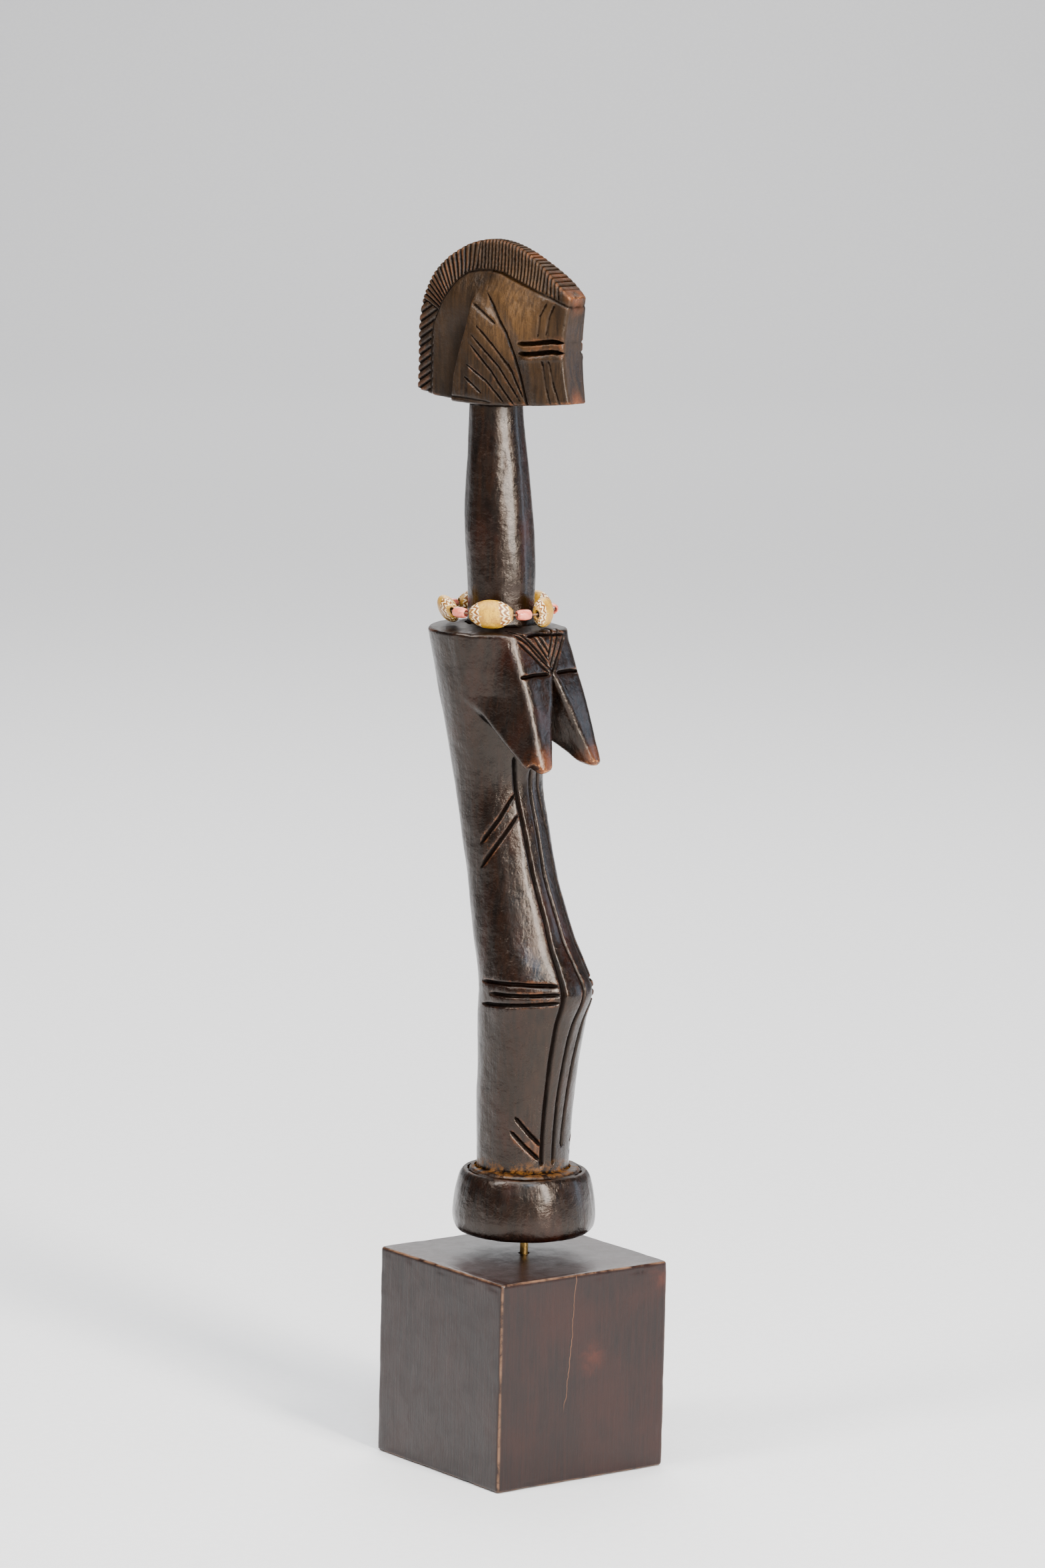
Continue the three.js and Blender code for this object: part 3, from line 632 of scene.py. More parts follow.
class Shader:
    """A small helper that builds one object-space material node by node."""

    def __init__(self, name):
        self.material = bpy.data.materials.new(name)
        self.material.use_nodes = True
        self.tree = self.material.node_tree
        self.surface = self.tree.nodes["Principled BSDF"]
        self.place = self.tree.nodes.new("ShaderNodeTexCoord").outputs["Object"]

    def node(self, kind, inputs=None, **settings):
        """A new shader node with its settings and inputs."""
        made = self.tree.nodes.new("ShaderNode" + kind)
        for key, value in settings.items():
            setattr(made, key, value)
        for key, value in (inputs or {}).items():
            self.put(made.inputs[key], value)
        return made

    def put(self, socket, value):
        """Links a node's output to a socket, or sets the socket to a plain value."""
        if isinstance(value, bpy.types.NodeSocket):
            self.tree.links.new(value, socket)
        else:
            socket.default_value = value

    def set(self, **inputs):
        """Sets the surface's own inputs, with _ for each space in a name."""
        for key, value in inputs.items():
            self.put(self.surface.inputs[key.replace("_", " ")], value)

    def math(self, operation, a, b=0.0, clamp=False):
        return self.node("Math", {0: a, 1: b}, operation=operation, use_clamp=clamp).outputs[0]

    def times(self, a, b):
        return self.math("MULTIPLY", a, b)

    def plus(self, a, b, clamp=False):
        return self.math("ADD", a, b, clamp)

    def minus(self, a, b, clamp=False):
        return self.math("SUBTRACT", a, b, clamp)

    def higher(self, a, b):
        return self.math("MAXIMUM", a, b)

    def lower(self, a, b):
        return self.math("MINIMUM", a, b)

    def size_of(self, a):
        return self.math("ABSOLUTE", a)

    def noise(self, size_mm, detail=4.0, rough=0.55, warp=0.0, scale=(1, 1, 1)):
        """Cloudy noise with features of that size; a scale below 1 draws it out along that axis."""
        stretched = self.node("Mapping", {"Vector": self.place, "Scale": scale}).outputs[0]
        return self.node("TexNoise", {
            "Vector": stretched, "Scale": 1 / (size_mm * MM), "Detail": detail,
            "Roughness": rough, "Distortion": warp}).outputs["Fac"]

    def ramp(self, value, low, high):
        """0 at low, 1 at high."""
        return self.node("MapRange", {"Value": value, "From Min": low, "From Max": high},
                         interpolation_type="SMOOTHSTEP").outputs[0]

    def mix(self, amount, a, b):
        mixer = self.node("Mix", data_type="RGBA", blend_type="MIX")
        self.put(mixer.inputs["Factor"], amount)
        self.put(mixer.inputs[6], a)
        self.put(mixer.inputs[7], b)
        return mixer.outputs[2]

    def cover(self, under, over, where, share):
        """One colour laid over another where a mask says, up to a share."""
        return self.mix(self.times(where, share), under, over)

    def attribute(self, name):
        return self.node("Attribute", attribute_name=name).outputs["Fac"]

    def level(self):
        """Height on the piece in metres, which stays with the piece when it moves."""
        return self.node("SeparateXYZ", {0: self.place}).outputs["Z"]

    def bumps(self, heights):
        """Chains bumps of (height, depth in metres)."""
        normal = None
        for height, depth in heights:
            bump = self.node("Bump", {"Height": height, "Strength": 1.0, "Distance": depth})
            if normal:
                self.put(bump.inputs["Normal"], normal)
            normal = bump.outputs[0]
        self.put(self.surface.inputs["Normal"], normal)


def rgb(red, green, blue):
    """A colour from its 0 to 255 screen values."""
    return tuple((c / 255) ** 2.2 for c in (red, green, blue)) + (1,)


def patinated_wood():
    """Nearly black oiled wood, browner and duller on the head, worn where it stands out, with painted
    shade in its hollows and cuts and a painted light patch on each temple.
    """
    s = Shader("patinated_wood")
    level = s.level()
    on_head = s.ramp(level, (HEAD_BOTTOM - 4) * MM, (HEAD_BOTTOM + 6) * MM)
    scored, standing_out = s.attribute("scored"), s.attribute("worn")
    grain = s.noise(1.3, 6, 0.62, 0.3, (1, 1, 0.1))
    cloud = s.noise(16, 5, 0.6, 0.4, (1, 1, 0.5))
    blotch = s.noise(5, 6, 0.65, 0.6)
    speck = s.noise(0.8, 3, 0.7)
    color = s.mix(s.ramp(grain, 0.35, 0.7), rgb(12, 7, 5), rgb(28, 17, 11))
    color = s.cover(color, rgb(44, 20, 13), s.ramp(cloud, 0.5, 0.74), 0.5)
    head = s.mix(s.ramp(grain, 0.3, 0.7), rgb(22, 15, 9), rgb(47, 34, 21))
    head = s.cover(head, rgb(62, 45, 28), s.ramp(cloud, 0.42, 0.7), 0.45)
    streaks = s.ramp(s.noise(0.9, 5, 0.7, 0.2, (1, 1, 0.14)), 0.4, 0.62)
    # painted light: a paler, streaked patch on the bulge of each temple
    lit_temple = s.times(s.attribute("lit_temple"), s.plus(0.35, s.times(streaks, 0.65)))
    head = s.cover(head, rgb(104, 76, 48), lit_temple, 0.6)
    color = s.mix(s.times(on_head, 0.85), color, head)
    edge = s.times(s.ramp(standing_out, 0.3, 0.9), s.ramp(blotch, 0.4, 0.62))
    color = s.cover(color, rgb(98, 60, 36), edge, 0.45)
    rubbed = s.times(s.attribute("rubbed"), s.ramp(blotch, 0.3, 0.6))
    color = s.cover(color, rgb(112, 62, 33), rubbed, 0.5)
    most_worn = s.ramp(s.plus(standing_out, s.attribute("rubbed")), 0.8, 1.6)
    bare = s.times(most_worn, s.ramp(speck, 0.5, 0.66))
    color = s.cover(color, rgb(186, 124, 76), bare, 0.7)
    # painted shade: the hollows, the scored cuts and the valley behind the head's panel are darkened
    # towards near black
    hollow = s.ramp(standing_out, -0.08, -0.5)
    painted_shade = s.higher(s.higher(hollow, scored), s.times(s.attribute("shade"), 0.75))
    color = s.cover(color, rgb(10, 6, 4), painted_shade, 0.85)
    at_ankle = s.times(s.ramp(level, (ANKLE - 2.4) * MM, (ANKLE - 0.8) * MM),
                       s.ramp(level, (ANKLE + 3.5) * MM, ANKLE * MM))
    dust = s.times(at_ankle, s.ramp(s.noise(2.4, 5, 0.7), 0.45, 0.62))
    color = s.cover(color, rgb(120, 78, 34), dust, 0.4)
    rough = s.plus(s.times(s.ramp(blotch, 0.35, 0.7), 0.12), 0.2)
    rough = s.plus(rough, s.times(on_head, 0.18))
    rough = s.plus(rough, s.times(s.plus(painted_shade, dust, True), 0.3))
    # dust dulls what faces up
    facing_up = s.node("SeparateXYZ", {0: s.node("NewGeometry").outputs["Normal"]}).outputs["Z"]
    dulled = s.ramp(facing_up, 0.6, 0.95)
    rough = s.plus(rough, s.times(dulled, 0.22))
    shine = s.minus(0.34, s.times(s.higher(painted_shade, s.times(on_head, 0.4)), 0.3))
    shine = s.minus(shine, s.times(dulled, 0.2), True)
    s.set(Base_Color=color, Roughness=rough, IOR=1.5, Specular_IOR_Level=shine,
          Specular_Tint=(1, 0.84, 0.72, 1), Coat_Weight=s.times(shine, 0.35), Coat_Roughness=0.13)
    s.bumps([(s.noise(3.2, 4, 0.5), 0.00035), (s.noise(0.6, 4, 0.6), 0.00009), (grain, 0.00014)])
    return s.material


def stained_wood():
    """The plinth: dark red-brown stained wood under satin varnish, rubbed at its edges."""
    s = Shader("stained_wood")
    low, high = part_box("plinth")
    half = (high - low) / 2
    grain = s.noise(0.9, 7, 0.6, 0.4, (1, 1, 0.06))
    pores = s.noise(0.3, 3, 0.6, 0, (1, 1, 0.06))
    cloud = s.noise(24, 4, 0.6, 0.3)
    blotch = s.noise(6, 6, 0.7, 0.5)
    x, y, z = s.node("SeparateXYZ", {0: s.place}).outputs
    color = s.mix(s.ramp(grain, 0.3, 0.75), rgb(22, 10, 6), rgb(34, 16, 10))
    color = s.cover(color, rgb(43, 20, 12), s.ramp(cloud, 0.4, 0.7), 0.5)
    color = s.cover(color, rgb(15, 8, 5), s.ramp(pores, 0.62, 0.74), 0.4)
    # rubbed spots on the front
    for across, level, reach in PLINTH_RUBBED:
        spot = (across * MM, low.y, level * MM)
        away = s.node("VectorMath", {0: s.place, 1: spot}, operation="DISTANCE").outputs["Value"]
        near = s.ramp(s.plus(away, s.times(blotch, 14 * MM)), (reach + 9) * MM, 4 * MM)
        color = s.cover(color, rgb(104, 48, 27), near, 0.3)
    # pale wood where the edges are worn: the middle one of the three gaps to a face is small there
    gaps = [s.minus(half_side, s.size_of(value)) for half_side, value in (
        (half.x, x), (half.y, y), (half.z, s.minus(z, half.z)))]
    middle = s.higher(s.lower(gaps[0], gaps[1]), s.lower(s.higher(gaps[0], gaps[1]), gaps[2]))
    worn = s.times(s.ramp(middle, 0.9 * MM, 0.2 * MM), s.ramp(blotch, 0.36, 0.6))
    color = s.cover(color, rgb(132, 98, 74), worn, 0.6)
    # a hairline crack down the front, with one pale lip
    wander = s.times(s.minus(s.noise(9, 3), 0.5), 4 * MM)
    line = s.plus(s.times(s.minus(z, 60 * MM), 0.085), s.minus(wander, 3.6 * MM))
    away = s.minus(x, line)
    on_front = s.times(s.math("LESS_THAN", y, low.y + 1 * MM), s.ramp(z, 20 * MM, 26 * MM))
    crack = s.times(s.ramp(s.size_of(away), 0.22 * MM, 0.08 * MM), on_front)
    lip = s.times(s.ramp(s.size_of(s.minus(away, 0.3 * MM)), 0.2 * MM, 0.08 * MM), on_front)
    color = s.cover(color, rgb(110, 74, 52), lip, 0.5)
    color = s.cover(color, rgb(8, 5, 4), crack, 0.85)
    rough = s.plus(s.times(s.ramp(blotch, 0.3, 0.7), 0.12), 0.3)
    s.set(Base_Color=color, Roughness=rough, IOR=1.5, Specular_IOR_Level=0.36)
    s.bumps([(grain, 0.00005), (pores, 0.00003), (blotch, 0.00008)])
    return s.material


def pin_brass():
    """Dull drawn brass with fine scratches round it."""
    s = Shader("pin_brass")
    scratches = s.noise(0.25, 4, 0.6, 0, (1, 1, 4))
    stain = s.noise(2.6, 5, 0.65, 0.4)
    color = s.mix(s.ramp(stain, 0.4, 0.68), rgb(196, 158, 92), rgb(112, 80, 46))
    s.set(Base_Color=color, Metallic=1.0, Roughness=s.plus(s.times(stain, 0.25), 0.22))
    s.bumps([(scratches, 0.00003)])
    return s.material


def yellow_glass():
    """Pale ochre glass with bands of white and brown squiggles, pitted by age."""
    s = Shader("yellow_glass")
    along, around = s.attribute("along"), s.attribute("around")
    cloud, pits = s.noise(2.4, 5, 0.65, 0.5), s.noise(0.5, 4, 0.7)
    color = s.mix(s.ramp(cloud, 0.35, 0.7), rgb(188, 144, 38), rgb(148, 102, 22))
    wobble = s.times(s.minus(cloud, 0.5), 0.12)
    lean = s.times(s.math("PINGPONG", around, 0.5), 0.25)
    place = s.plus(s.plus(along, wobble), lean)
    zigzag = s.times(s.math("PINGPONG", around, 1 / 20), 1.6)
    for centre in (0.22, 0.90):
        off = s.minus(place, centre)
        in_band = s.ramp(s.size_of(off), 0.115, 0.1)
        strands = s.math("PINGPONG", s.plus(s.plus(off, 1.0), zigzag), 0.06)
        brown = s.times(in_band, s.ramp(strands, 0.026, 0.018))
        white = s.times(in_band, s.ramp(strands, 0.036, 0.043))
        color = s.cover(color, rgb(236, 222, 192), white, 0.9)
        color = s.cover(color, rgb(92, 40, 22), brown, 0.9)
    grime = s.times(s.ramp(pits, 0.5, 0.66), 0.6)
    color = s.mix(grime, color, rgb(98, 68, 36))
    color = s.cover(color, rgb(110, 74, 38), s.attribute("end"), 0.55)
    s.set(Base_Color=color, Roughness=s.plus(s.times(pits, 0.3), 0.24), IOR=1.5,
          Subsurface_Weight=0.08, Subsurface_Radius=(0.001, 0.0006, 0.0003))
    s.bumps([(cloud, 0.00022), (pits, 0.00010)])
    return s.material


def pink_glass():
    """Salmon-pink glass, a little cloudy."""
    s = Shader("pink_glass")
    cloud, pits = s.noise(1.6, 5, 0.6, 0.5), s.noise(0.4, 3, 0.6)
    color = s.mix(s.ramp(cloud, 0.35, 0.7), rgb(216, 122, 100), rgb(186, 88, 72))
    color = s.cover(color, rgb(112, 52, 44), s.ramp(pits, 0.58, 0.72), 0.5)
    s.set(Base_Color=color, Roughness=0.24, IOR=1.5, Subsurface_Weight=0.12,
          Subsurface_Radius=(0.001, 0.0004, 0.0003))
    s.bumps([(cloud, 0.00012), (pits, 0.00004)])
    return s.material


def cotton_string():
    """Brown waxed cotton with fine fibres along each ply."""
    s = Shader("cotton_string")
    fibre = s.node("TexWave", {"Vector": s.place, "Scale": 900.0, "Distortion": 3.0, "Detail": 2.0},
                   wave_type="BANDS").outputs["Fac"]
    dirt = s.noise(1.2, 4, 0.6)
    color = s.mix(s.ramp(dirt, 0.35, 0.7), rgb(122, 88, 58), rgb(66, 42, 28))
    s.set(Base_Color=color, Roughness=0.8, Sheen_Weight=0.2)
    s.bumps([(fibre, 0.00005), (dirt, 0.00008)])
    return s.material


def floor_paint():
    """The pale backdrop."""
    s = Shader("floor_paint")
    fleck = s.noise(3, 3, 0.5)
    color = s.mix(s.ramp(fleck, 0.3, 0.7), (0.66, 0.66, 0.67, 1), (0.68, 0.68, 0.69, 1))
    s.set(Base_Color=color, Roughness=0.9)
    s.bumps([(fleck, 0.00002)])
    return s.material


# ---------------------------------------------------------------- plinth and pin

PLINTH_EDGE = 1
PLINTH_VOXEL = 0.45
# Rubbed spots on the front of the plinth: (across from its middle, level, reach), in millimetres
PLINTH_RUBBED = [(3, 35, 4), (27.5, 55.5, 3)]


def make_plinth(material):
    """The block with its rounded, worn edges and the blind hole for the pin."""
    low, high = (np.array(corner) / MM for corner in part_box("plinth"))
    centre, half = (low + high) / 2, (high - low) / 2
    origin = low - 2
    counts = ((high - low + 4) / PLINTH_VOXEL).astype(int) + 1
    axes = [start + PLINTH_VOXEL * np.arange(count) for start, count in zip(origin, counts)]
    x, y, z = axes[0][:, None, None], axes[1][None, :, None], axes[2][None, None, :]
    past = [np.maximum(np.abs(value - centre[k]) - half[k] + PLINTH_EDGE, 0)
            for k, value in enumerate((x, y, z))]
    inside = np.maximum(np.maximum(np.abs(x - centre[0]) - half[0], np.abs(y - centre[1]) - half[1]),
                        np.abs(z - centre[2]) - half[2]) + PLINTH_EDGE
    field = np.sqrt(past[0] ** 2 + past[1] ** 2 + past[2] ** 2) + np.minimum(inside, 0) - PLINTH_EDGE
    near = np.argwhere(np.abs(field) < 1.5)
    points = origin + near * PLINTH_VOXEL
    edge_share = sum(np.abs(points[:, k] - centre[k]) > half[k] - 2.5 for k in range(3)) >= 2
    wear = 0.16 * np.clip(lattice_noise(points, 5.0, SEED + 5), 0, 1) * edge_share
    field[tuple(near.T)] += wear + 0.05 * lattice_noise(points, 14.0, SEED + 6)
    hole = np.maximum(np.hypot(x, y) - PIN_HOLE_RADIUS, high[2] - PIN_HOLE_DEPTH - z)
    field = np.maximum(field, -hole)
    vertices, quads = mesh_from_field(field, origin, PLINTH_VOXEL)
    plinth = object_from("plinth_block", vertices * MM, quads, material)
    apply_modifier(plinth, "DECIMATE", ratio=0.35)
    return plinth


def lathe(name, outline, material, sides, wobble, place=Matrix(), squash=1.0):
    """A ring turned round the local Z axis from a closed outline of (along, radius) points.

    wobble gives the share of the radius at each place along and round it, and squash flattens it in X.
    """
    count = len(outline)
    vertices = []
    for along, radius in outline:
        for i in range(sides):
            angle = 2 * math.pi * i / sides
            r = radius * wobble(along, angle)
            vertices.append(place @ Vector((r * math.cos(angle) * squash, r * math.sin(angle), along)))
    faces = []
    for ring in range(count):
        after = (ring + 1) % count
        for i in range(sides):
            j = (i + 1) % sides
            faces.append((ring * sides + i, ring * sides + j, after * sides + j, after * sides + i))
    return object_from(name, vertices, faces, material)


def make_pin(material):
    """The rod, slightly uneven, with a chamfer at each end."""
    low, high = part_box("mount_pin")
    radius = (high.x - low.x) / 2
    middle = Matrix.Translation(((low.x + high.x) / 2, (low.y + high.y) / 2, 0))
    chamfer = 0.3 * MM
    levels = np.linspace(low.z + chamfer, high.z - chamfer, 60)
    tip = radius - chamfer
    outline = [(low.z, tip), *((level, radius) for level in levels), (high.z, tip)]

    def wobble(along, angle):
        return 1 - 0.006 - 0.006 * math.sin(angle * 2 + along * 1400)

    pin = lathe("pin_rod", outline, material, 48, wobble, middle)
    # the ends are closed with a face each, in place of the strip that joins last ring to first
    mesh = bmesh.new()
    mesh.from_mesh(pin.data)
    strip = [face for face in mesh.faces if face.calc_area() > 0 and
             max(v.co.z for v in face.verts) - min(v.co.z for v in face.verts) > 0.01]
    bmesh.ops.delete(mesh, geom=strip, context="FACES")
    bmesh.ops.holes_fill(mesh, edges=mesh.edges)
    mesh.to_mesh(pin.data)
    mesh.free()
    return pin


# ---------------------------------------------------------------- beads and string

RIM = 64
UP = Vector((0, 0, 1))
# Length, height, thickness and hole of a yellow bead; length, diameter and hole of a pink one.
YELLOW = (12.7 * MM, 8.6 * MM, 5 * MM, 2.1 * MM)
PINK = (4.5 * MM, 3.2 * MM, 1.5 * MM)
# How far each yellow bead is rolled on the string, in degrees.
YELLOW_TILTS = [4, -6, 8, -5, 28]
# How far a bead is turned about the upright from the string's circle, in degrees.
BEAD_LEANS = {"yellow_bead_2": 10}
KNOT_BETWEEN = ("pink_bead_4", "yellow_bead_5")
BEAD_ORDER = []
for pair in range(1, 5):
    BEAD_ORDER += [(f"yellow_bead_{pair}", YELLOW[0]), (f"pink_bead_{pair}", PINK[0])]
BEAD_ORDER += [("knot", 0), ("yellow_bead_5", YELLOW[0]), ("pink_bead_5", PINK[0])]


def bead_joint(node):
    """The joint that a bead turns on."""
    return joints[f"{node}_turn"] if node.startswith("yellow") else joints[f"{node}_spin"]


def bead_axis(node):
    """Along the bead's hole, the way the string runs round the neck, with the bead's own lean."""
    joint = bead_joint(node)
    outward = Vector(joint["pos_m"]) - Vector(joints["necklace_turn"]["pos_m"])
    axis = Vector(joint["axis"]).normalized()
    if axis.dot(UP.cross(outward)) < 0:
        axis.negate()
    return Matrix.Rotation(math.radians(BEAD_LEANS.get(node, 0)), 3, "Z") @ axis


def bead_matrix(node):
    """Local Z along the bead's hole, local Y upright."""
    axis = bead_axis(node)
    across = UP.cross(axis).normalized()
    upright = axis.cross(across)
    turn = Matrix((across, upright, axis)).transposed().to_4x4()
    return Matrix.Translation(bead_joint(node)["pos_m"]) @ turn


def bead_outline(length, radius, hole, flat, blunt):
    """Down the outside of a bead and back up its hole."""
    steps = 34
    outer = []
    for t in np.linspace(-1, 1, steps):
        share = (1 - abs(t) ** 2.2) ** blunt
        outer.append((t * length / 2, flat * radius + (1 - flat) * radius * share))
    lip = 0.12 * radius
    outer[0] = (outer[0][0] + lip * 0.3, outer[0][1])
    outer[-1] = (outer[-1][0] - lip * 0.3, outer[-1][1])
    end = length / 2 - lip * 0.5
    mouth = end + lip * 0.3
    inner = [(mouth, hole + lip), (end - lip, hole), (0, hole), (-end + lip, hole), (-mouth, hole + lip)]
    return outer + inner


def make_bead(node, yellow, number, material):
    """One glass bead, with the places along and round it that its pattern follows."""
    phase = number * 1.7
    if yellow:
        length, height, thickness, hole = YELLOW
        outline = bead_outline(length, height / 2, hole / 2, 0.3, 0.9)
        squash = thickness / height
        tilt = Matrix.Rotation(math.radians(YELLOW_TILTS[number - 1]), 4, "Z")

        def wobble(along, angle):
            return 0.985 + 0.015 * math.sin(2 * angle + phase + along * 300)
    else:
        length, diameter, hole = PINK
        outline = bead_outline(length, diameter / 2, hole / 2, 0.55, 0.4)
        squash, tilt = 1.0, Matrix()

        def wobble(along, angle):
            return 0.975 + 0.02 * math.cos(6 * angle + phase)

    bead = lathe(f"{node}_glass", outline, material, RIM, wobble, squash=squash)
    x, y, z = mesh_places(bead).T
    add_attribute(bead, "along", z / length + 0.5)
    add_attribute(bead, "around", np.arctan2(y, x / squash) / (2 * math.pi) + 0.5 + phase)
    add_attribute(bead, "end", np.clip(np.abs(z) / length * 2 * 6 - 5, 0, 1))
    bead.data.transform(bead_matrix(node) @ tilt)
    bead.data.update()
    return bead


def sweep(points, radius, sides, closed):
    """Vertices and faces of a tube along points; its ends are closed when it is open."""
    points = [Vector(p) for p in points]
    count = len(points)
    tangents = []
    for i in range(count):
        before = points[i - 1] if closed or i > 0 else points[0]
        after = points[(i + 1) % count] if closed or i < count - 1 else points[-1]
        tangents.append((after - before).normalized())
    normal = tangents[0].orthogonal().normalized()
    vertices, faces = [], []
    for point, tangent in zip(points, tangents):
        normal = (normal - tangent * normal.dot(tangent)).normalized()
        across = tangent.cross(normal)
        for k in range(sides):
            angle = 2 * math.pi * k / sides
            vertices.append(point + (normal * math.cos(angle) + across * math.sin(angle)) * radius)
    for i in range(count if closed else count - 1):
        j = (i + 1) % count
        for k in range(sides):
            n = (k + 1) % sides
            faces.append((i * sides + k, i * sides + n, j * sides + n, j * sides + k))
    if not closed:
        faces.append(tuple(range(sides))[::-1])
        faces.append(tuple((count - 1) * sides + k for k in range(sides)))
    return vertices, faces


def rounded_loop(corners, step):
    """Evenly spaced points on a smooth closed curve through the corners."""
    count, curve = len(corners), []
    for i in range(count):
        a, b, c, d = (corners[(i + k) % count] for k in (-1, 0, 1, 2))
        for t in np.linspace(0, 1, 12, endpoint=False):
            curve.append(0.5 * (2 * b + (c - a) * t + (2 * a - 5 * b + 4 * c - d) * t * t
                                + (3 * b - a - 3 * c + d) * t ** 3))
    curve.append(curve[0])
    lengths = np.cumsum([0] + [(q - p).length for p, q in zip(curve[:-1], curve[1:])])
    marks = np.linspace(0, lengths[-1], int(lengths[-1] / step), endpoint=False)
    columns = [np.interp(marks, lengths, [p[k] for p in curve]) for k in range(3)]
    return [Vector(p) for p in zip(*columns)]


def twisted(points, plies, ply_radius, pitch, closed):
    """Tubes that wind round each other along points."""
    vertices, faces = [], []
    travelled = 0.0
    total = sum((q - p).length for p, q in zip(points, points[1:] + (points[:1] if closed else [])))
    turns = max(1, round(total / pitch))
    centres = []
    for i, point in enumerate(points):
        after = points[(i + 1) % len(points)] if closed or i < len(points) - 1 else point
        before = points[i - 1] if closed or i > 0 else point
        tangent = (after - before).normalized()
        side = tangent.cross(UP)
        side = side.normalized() if side.length > 0.3 else tangent.cross(Vector((1, 0, 0))).normalized()
        centres.append((point, side, tangent.cross(side), travelled / total * turns * 2 * math.pi))
        travelled += (after - point).length
    for ply in range(plies):
        phase = 2 * math.pi * ply / plies
        path = [p + (s * math.cos(a + phase) + n * math.sin(a + phase)) * ply_radius * 0.95
                for p, s, n, a in centres]
        more_vertices, more_faces = sweep(path, ply_radius, 6, closed)
        faces += [tuple(index + len(vertices) for index in face) for face in more_faces]
        vertices += more_vertices
    return vertices, faces


def make_string(material):
    """The closed string through every bead, and its knot with two short ends."""
    corners = []
    for node, length in BEAD_ORDER:
        if node == "knot":
            before, after = (Vector(bead_joint(name)["pos_m"]) for name in KNOT_BETWEEN)
            # the middle of the gap that the two beads leave
            knot = before.lerp(after, 0.5 - (YELLOW[0] - PINK[0]) / 4 / (after - before).length)
            middle = Vector(joints["necklace_turn"]["pos_m"])
            knot = middle + (knot - middle) * 1.03
            corners.append(knot)
            continue
        centre, axis = Vector(bead_joint(node)["pos_m"]), bead_axis(node)
        corners += [centre + axis * length * share for share in (-0.46, -0.15, 0.15, 0.46)]
    loop = rounded_loop(corners, 0.14 * MM)
    vertices, faces = twisted(loop, 3, 0.155 * MM, 1.7 * MM, True)
    t = np.linspace(0, 2 * math.pi, 60, endpoint=False)
    size = 0.2 * MM
    coil = [knot + Vector(p) * size for p in zip(
        np.sin(t) + 2 * np.sin(2 * t), -np.sin(3 * t) * 1.3, np.cos(t) - 2 * np.cos(2 * t))]
    tails = []
    outward = (knot - middle).normalized()
    sideways = outward.cross(UP)
    for lean, length in ((0.5, 3.4), (-0.8, 2.8)):
        tails.append([
            knot + outward * (1.3 * d * (1 - 0.4 * d)) * MM + sideways * (lean * d * 1.6) * MM
            - UP * (length * d * d * 0.7 + length * d * 0.3) * MM for d in np.linspace(0, 1, 24)])
    for points, closed in [(coil, True)] + [(tail, False) for tail in tails]:
        more_vertices, more_faces = twisted(points, 3, 0.13 * MM, 1.5 * MM, closed)
        faces += [tuple(index + len(vertices) for index in face) for face in more_faces]
        vertices += more_vertices
    return object_from("string_cord", vertices, faces, material)


# ---------------------------------------------------------------- the pieces

def finish_piece(piece, body, node):
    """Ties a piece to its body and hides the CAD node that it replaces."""
    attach(piece, body)
    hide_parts(node)


finish_piece(make_figure(patinated_wood()), "doll", "carved_figure")
finish_piece(make_plinth(stained_wood()), "stand", "plinth")
finish_piece(make_pin(pin_brass()), "pin", "mount_pin")
yellow, pink = yellow_glass(), pink_glass()
for number in range(1, 6):
    for kind, material in (("yellow", yellow), ("pink", pink)):
        node = f"{kind}_bead_{number}"
        bead = make_bead(node, kind == "yellow", number, material)
        finish_piece(bead, node, node)
finish_piece(make_string(cotton_string()), "necklace", "necklace_string")


# ---------------------------------------------------------------- floor, lights and camera

# The floor, the lamps and the camera are in metres, measured from the doll.
FLOOR_FRONT, FLOOR_BACK, FLOOR_SIDE = 9, 3.4, 7
SWEEP_RADIUS, SWEEP_HEIGHT = 1.2, 4.5
CAMERA_TURN = math.radians(-37.3)
CAMERA_RISE = math.radians(8.78)
CAMERA_ROLL = math.radians(1.32)
CAMERA_DISTANCE = 1.8444
CAMERA_AIM = Vector((-2.82, 2.15, 198.5)) * MM
CAMERA_LENS = 147.75


def direction(turn, rise):
    """Unit vector from the doll towards a place seen at that turn from the front and that rise."""
    return Vector((math.sin(turn) * math.cos(rise), -math.cos(turn) * math.cos(rise), math.sin(rise)))


def make_floor():
    """A pale floor that curves up into a wall behind the doll, seen from the camera."""
    away = -direction(CAMERA_TURN, 0)
    side = away.cross(UP)
    profile = [(-FLOOR_FRONT, 0), (FLOOR_BACK, 0)]
    for i in range(1, 17):
        angle = math.pi / 2 * i / 16
        further, higher = SWEEP_RADIUS * math.sin(angle), SWEEP_RADIUS * (1 - math.cos(angle))
        profile.append((FLOOR_BACK + further, higher))
    profile.append((FLOOR_BACK + SWEEP_RADIUS, SWEEP_HEIGHT))
    vertices = [away * back + side * across + Vector((0, 0, up))
                for back, up in profile for across in (-FLOOR_SIDE, FLOOR_SIDE)]
    faces = [(2 * i, 2 * i + 1, 2 * i + 3, 2 * i + 2) for i in range(len(profile) - 1)]
    floor = object_from("floor_sweep", vertices, faces, floor_paint())


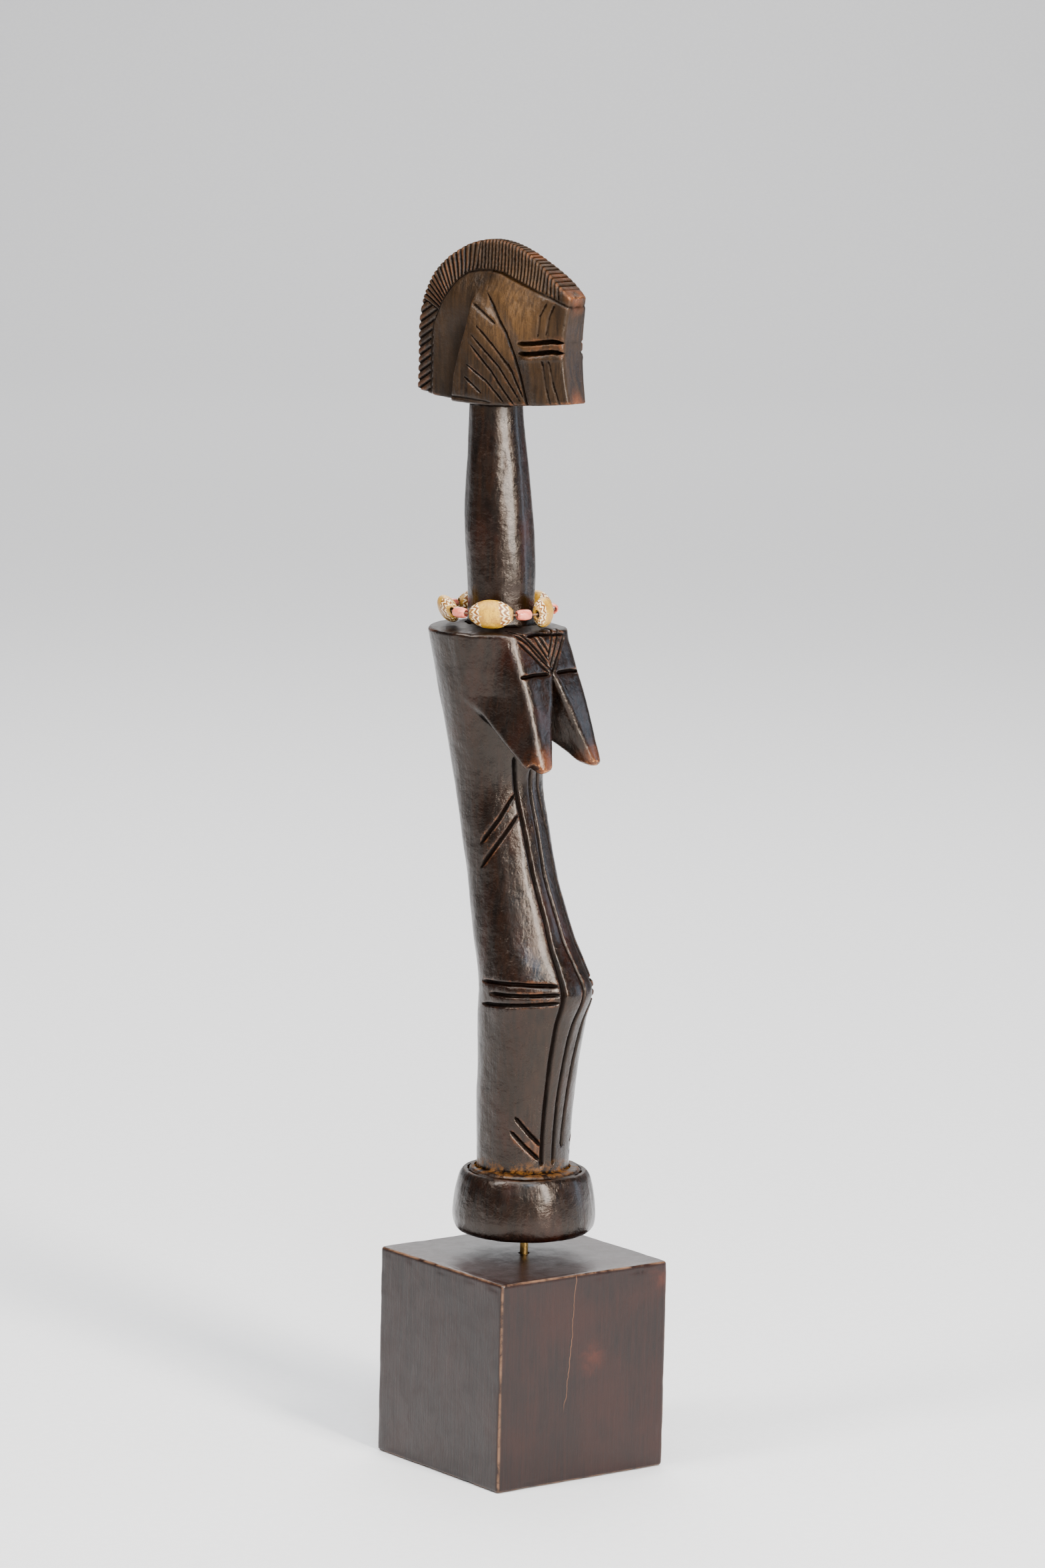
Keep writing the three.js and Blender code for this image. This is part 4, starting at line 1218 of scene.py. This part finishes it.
def add_light(name, turn, rise, distance, size, power, color, aim=(0, 0, 0.2)):
    """A soft lamp of that width and height; turn is measured from the camera's side, to its right."""
    data = bpy.data.lights.new(name, "AREA")
    data.shape, data.energy, data.color = "RECTANGLE", power, color
    data.size, data.size_y = size
    lamp = bpy.data.objects.new(name, data)
    towards = direction(CAMERA_TURN + math.radians(turn), math.radians(rise))
    lamp.location = Vector(aim) + towards * distance
    lamp.rotation_euler = (Vector(aim) - lamp.location).to_track_quat("-Z", "Y").to_euler()
    lamp.visible_camera = False
    bpy.context.scene.collection.objects.link(lamp)


def make_camera():
    """The photo's camera, turned, raised and rolled about the point that it aims at."""
    back = direction(CAMERA_TURN, CAMERA_RISE)
    right = (-back).cross(UP).normalized()
    up = back.cross(right)
    across = right * math.cos(CAMERA_ROLL) + up * math.sin(CAMERA_ROLL)
    upward = up * math.cos(CAMERA_ROLL) - right * math.sin(CAMERA_ROLL)
    data = bpy.data.cameras.new("photo_camera")
    data.lens, data.sensor_width, data.clip_start, data.clip_end = CAMERA_LENS, 36, 0.05, 30
    camera = bpy.data.objects.new("photo_camera", data)
    camera.matrix_world = Matrix.Translation(CAMERA_AIM + back * CAMERA_DISTANCE) @ Matrix(
        (across, upward, back)).transposed().to_4x4()
    bpy.context.scene.collection.objects.link(camera)
    bpy.context.scene.camera = camera


make_floor()
add_light("key_left", -56, 44, 1.5, (0.3, 0.8), 24, (1.0, 0.96, 0.92))
add_light("strip_right", 36, 26, 1.3, (0.26, 1.1), 60, (1.0, 0.95, 0.88))
add_light("cool_side", 102, 4, 1.4, (0.35, 0.9), 6, (0.62, 0.78, 1.0))
add_light("cool_front", 6, 44, 1.5, (0.22, 0.6), 9, (0.5, 0.75, 1.0))
add_light("top_soft", -20, 76, 1.7, (0.8, 0.8), 24, (1.0, 0.99, 0.97))
add_light("back_wall", 180, 50, 1.6, (1.2, 1.2), 30, (1.0, 1.0, 1.0), aim=(0, 0, 0.1))
add_light("far_floor", 180, 90, 1.2, (2.4, 2.4), 42, (1.0, 1.0, 1.0), aim=-3 * direction(CAMERA_TURN, 0))
add_light("near_floor", 0, 90, 1.2, (2.4, 2.4), 42, (1.0, 1.0, 1.0), aim=3.4 * direction(CAMERA_TURN, 0))
world = bpy.data.worlds.new("studio_air")
world.use_nodes = True
world.node_tree.nodes["Background"].inputs["Color"].default_value = (0.85, 0.86, 0.88, 1)
world.node_tree.nodes["Background"].inputs["Strength"].default_value = 0.2
bpy.context.scene.world = world
make_camera()
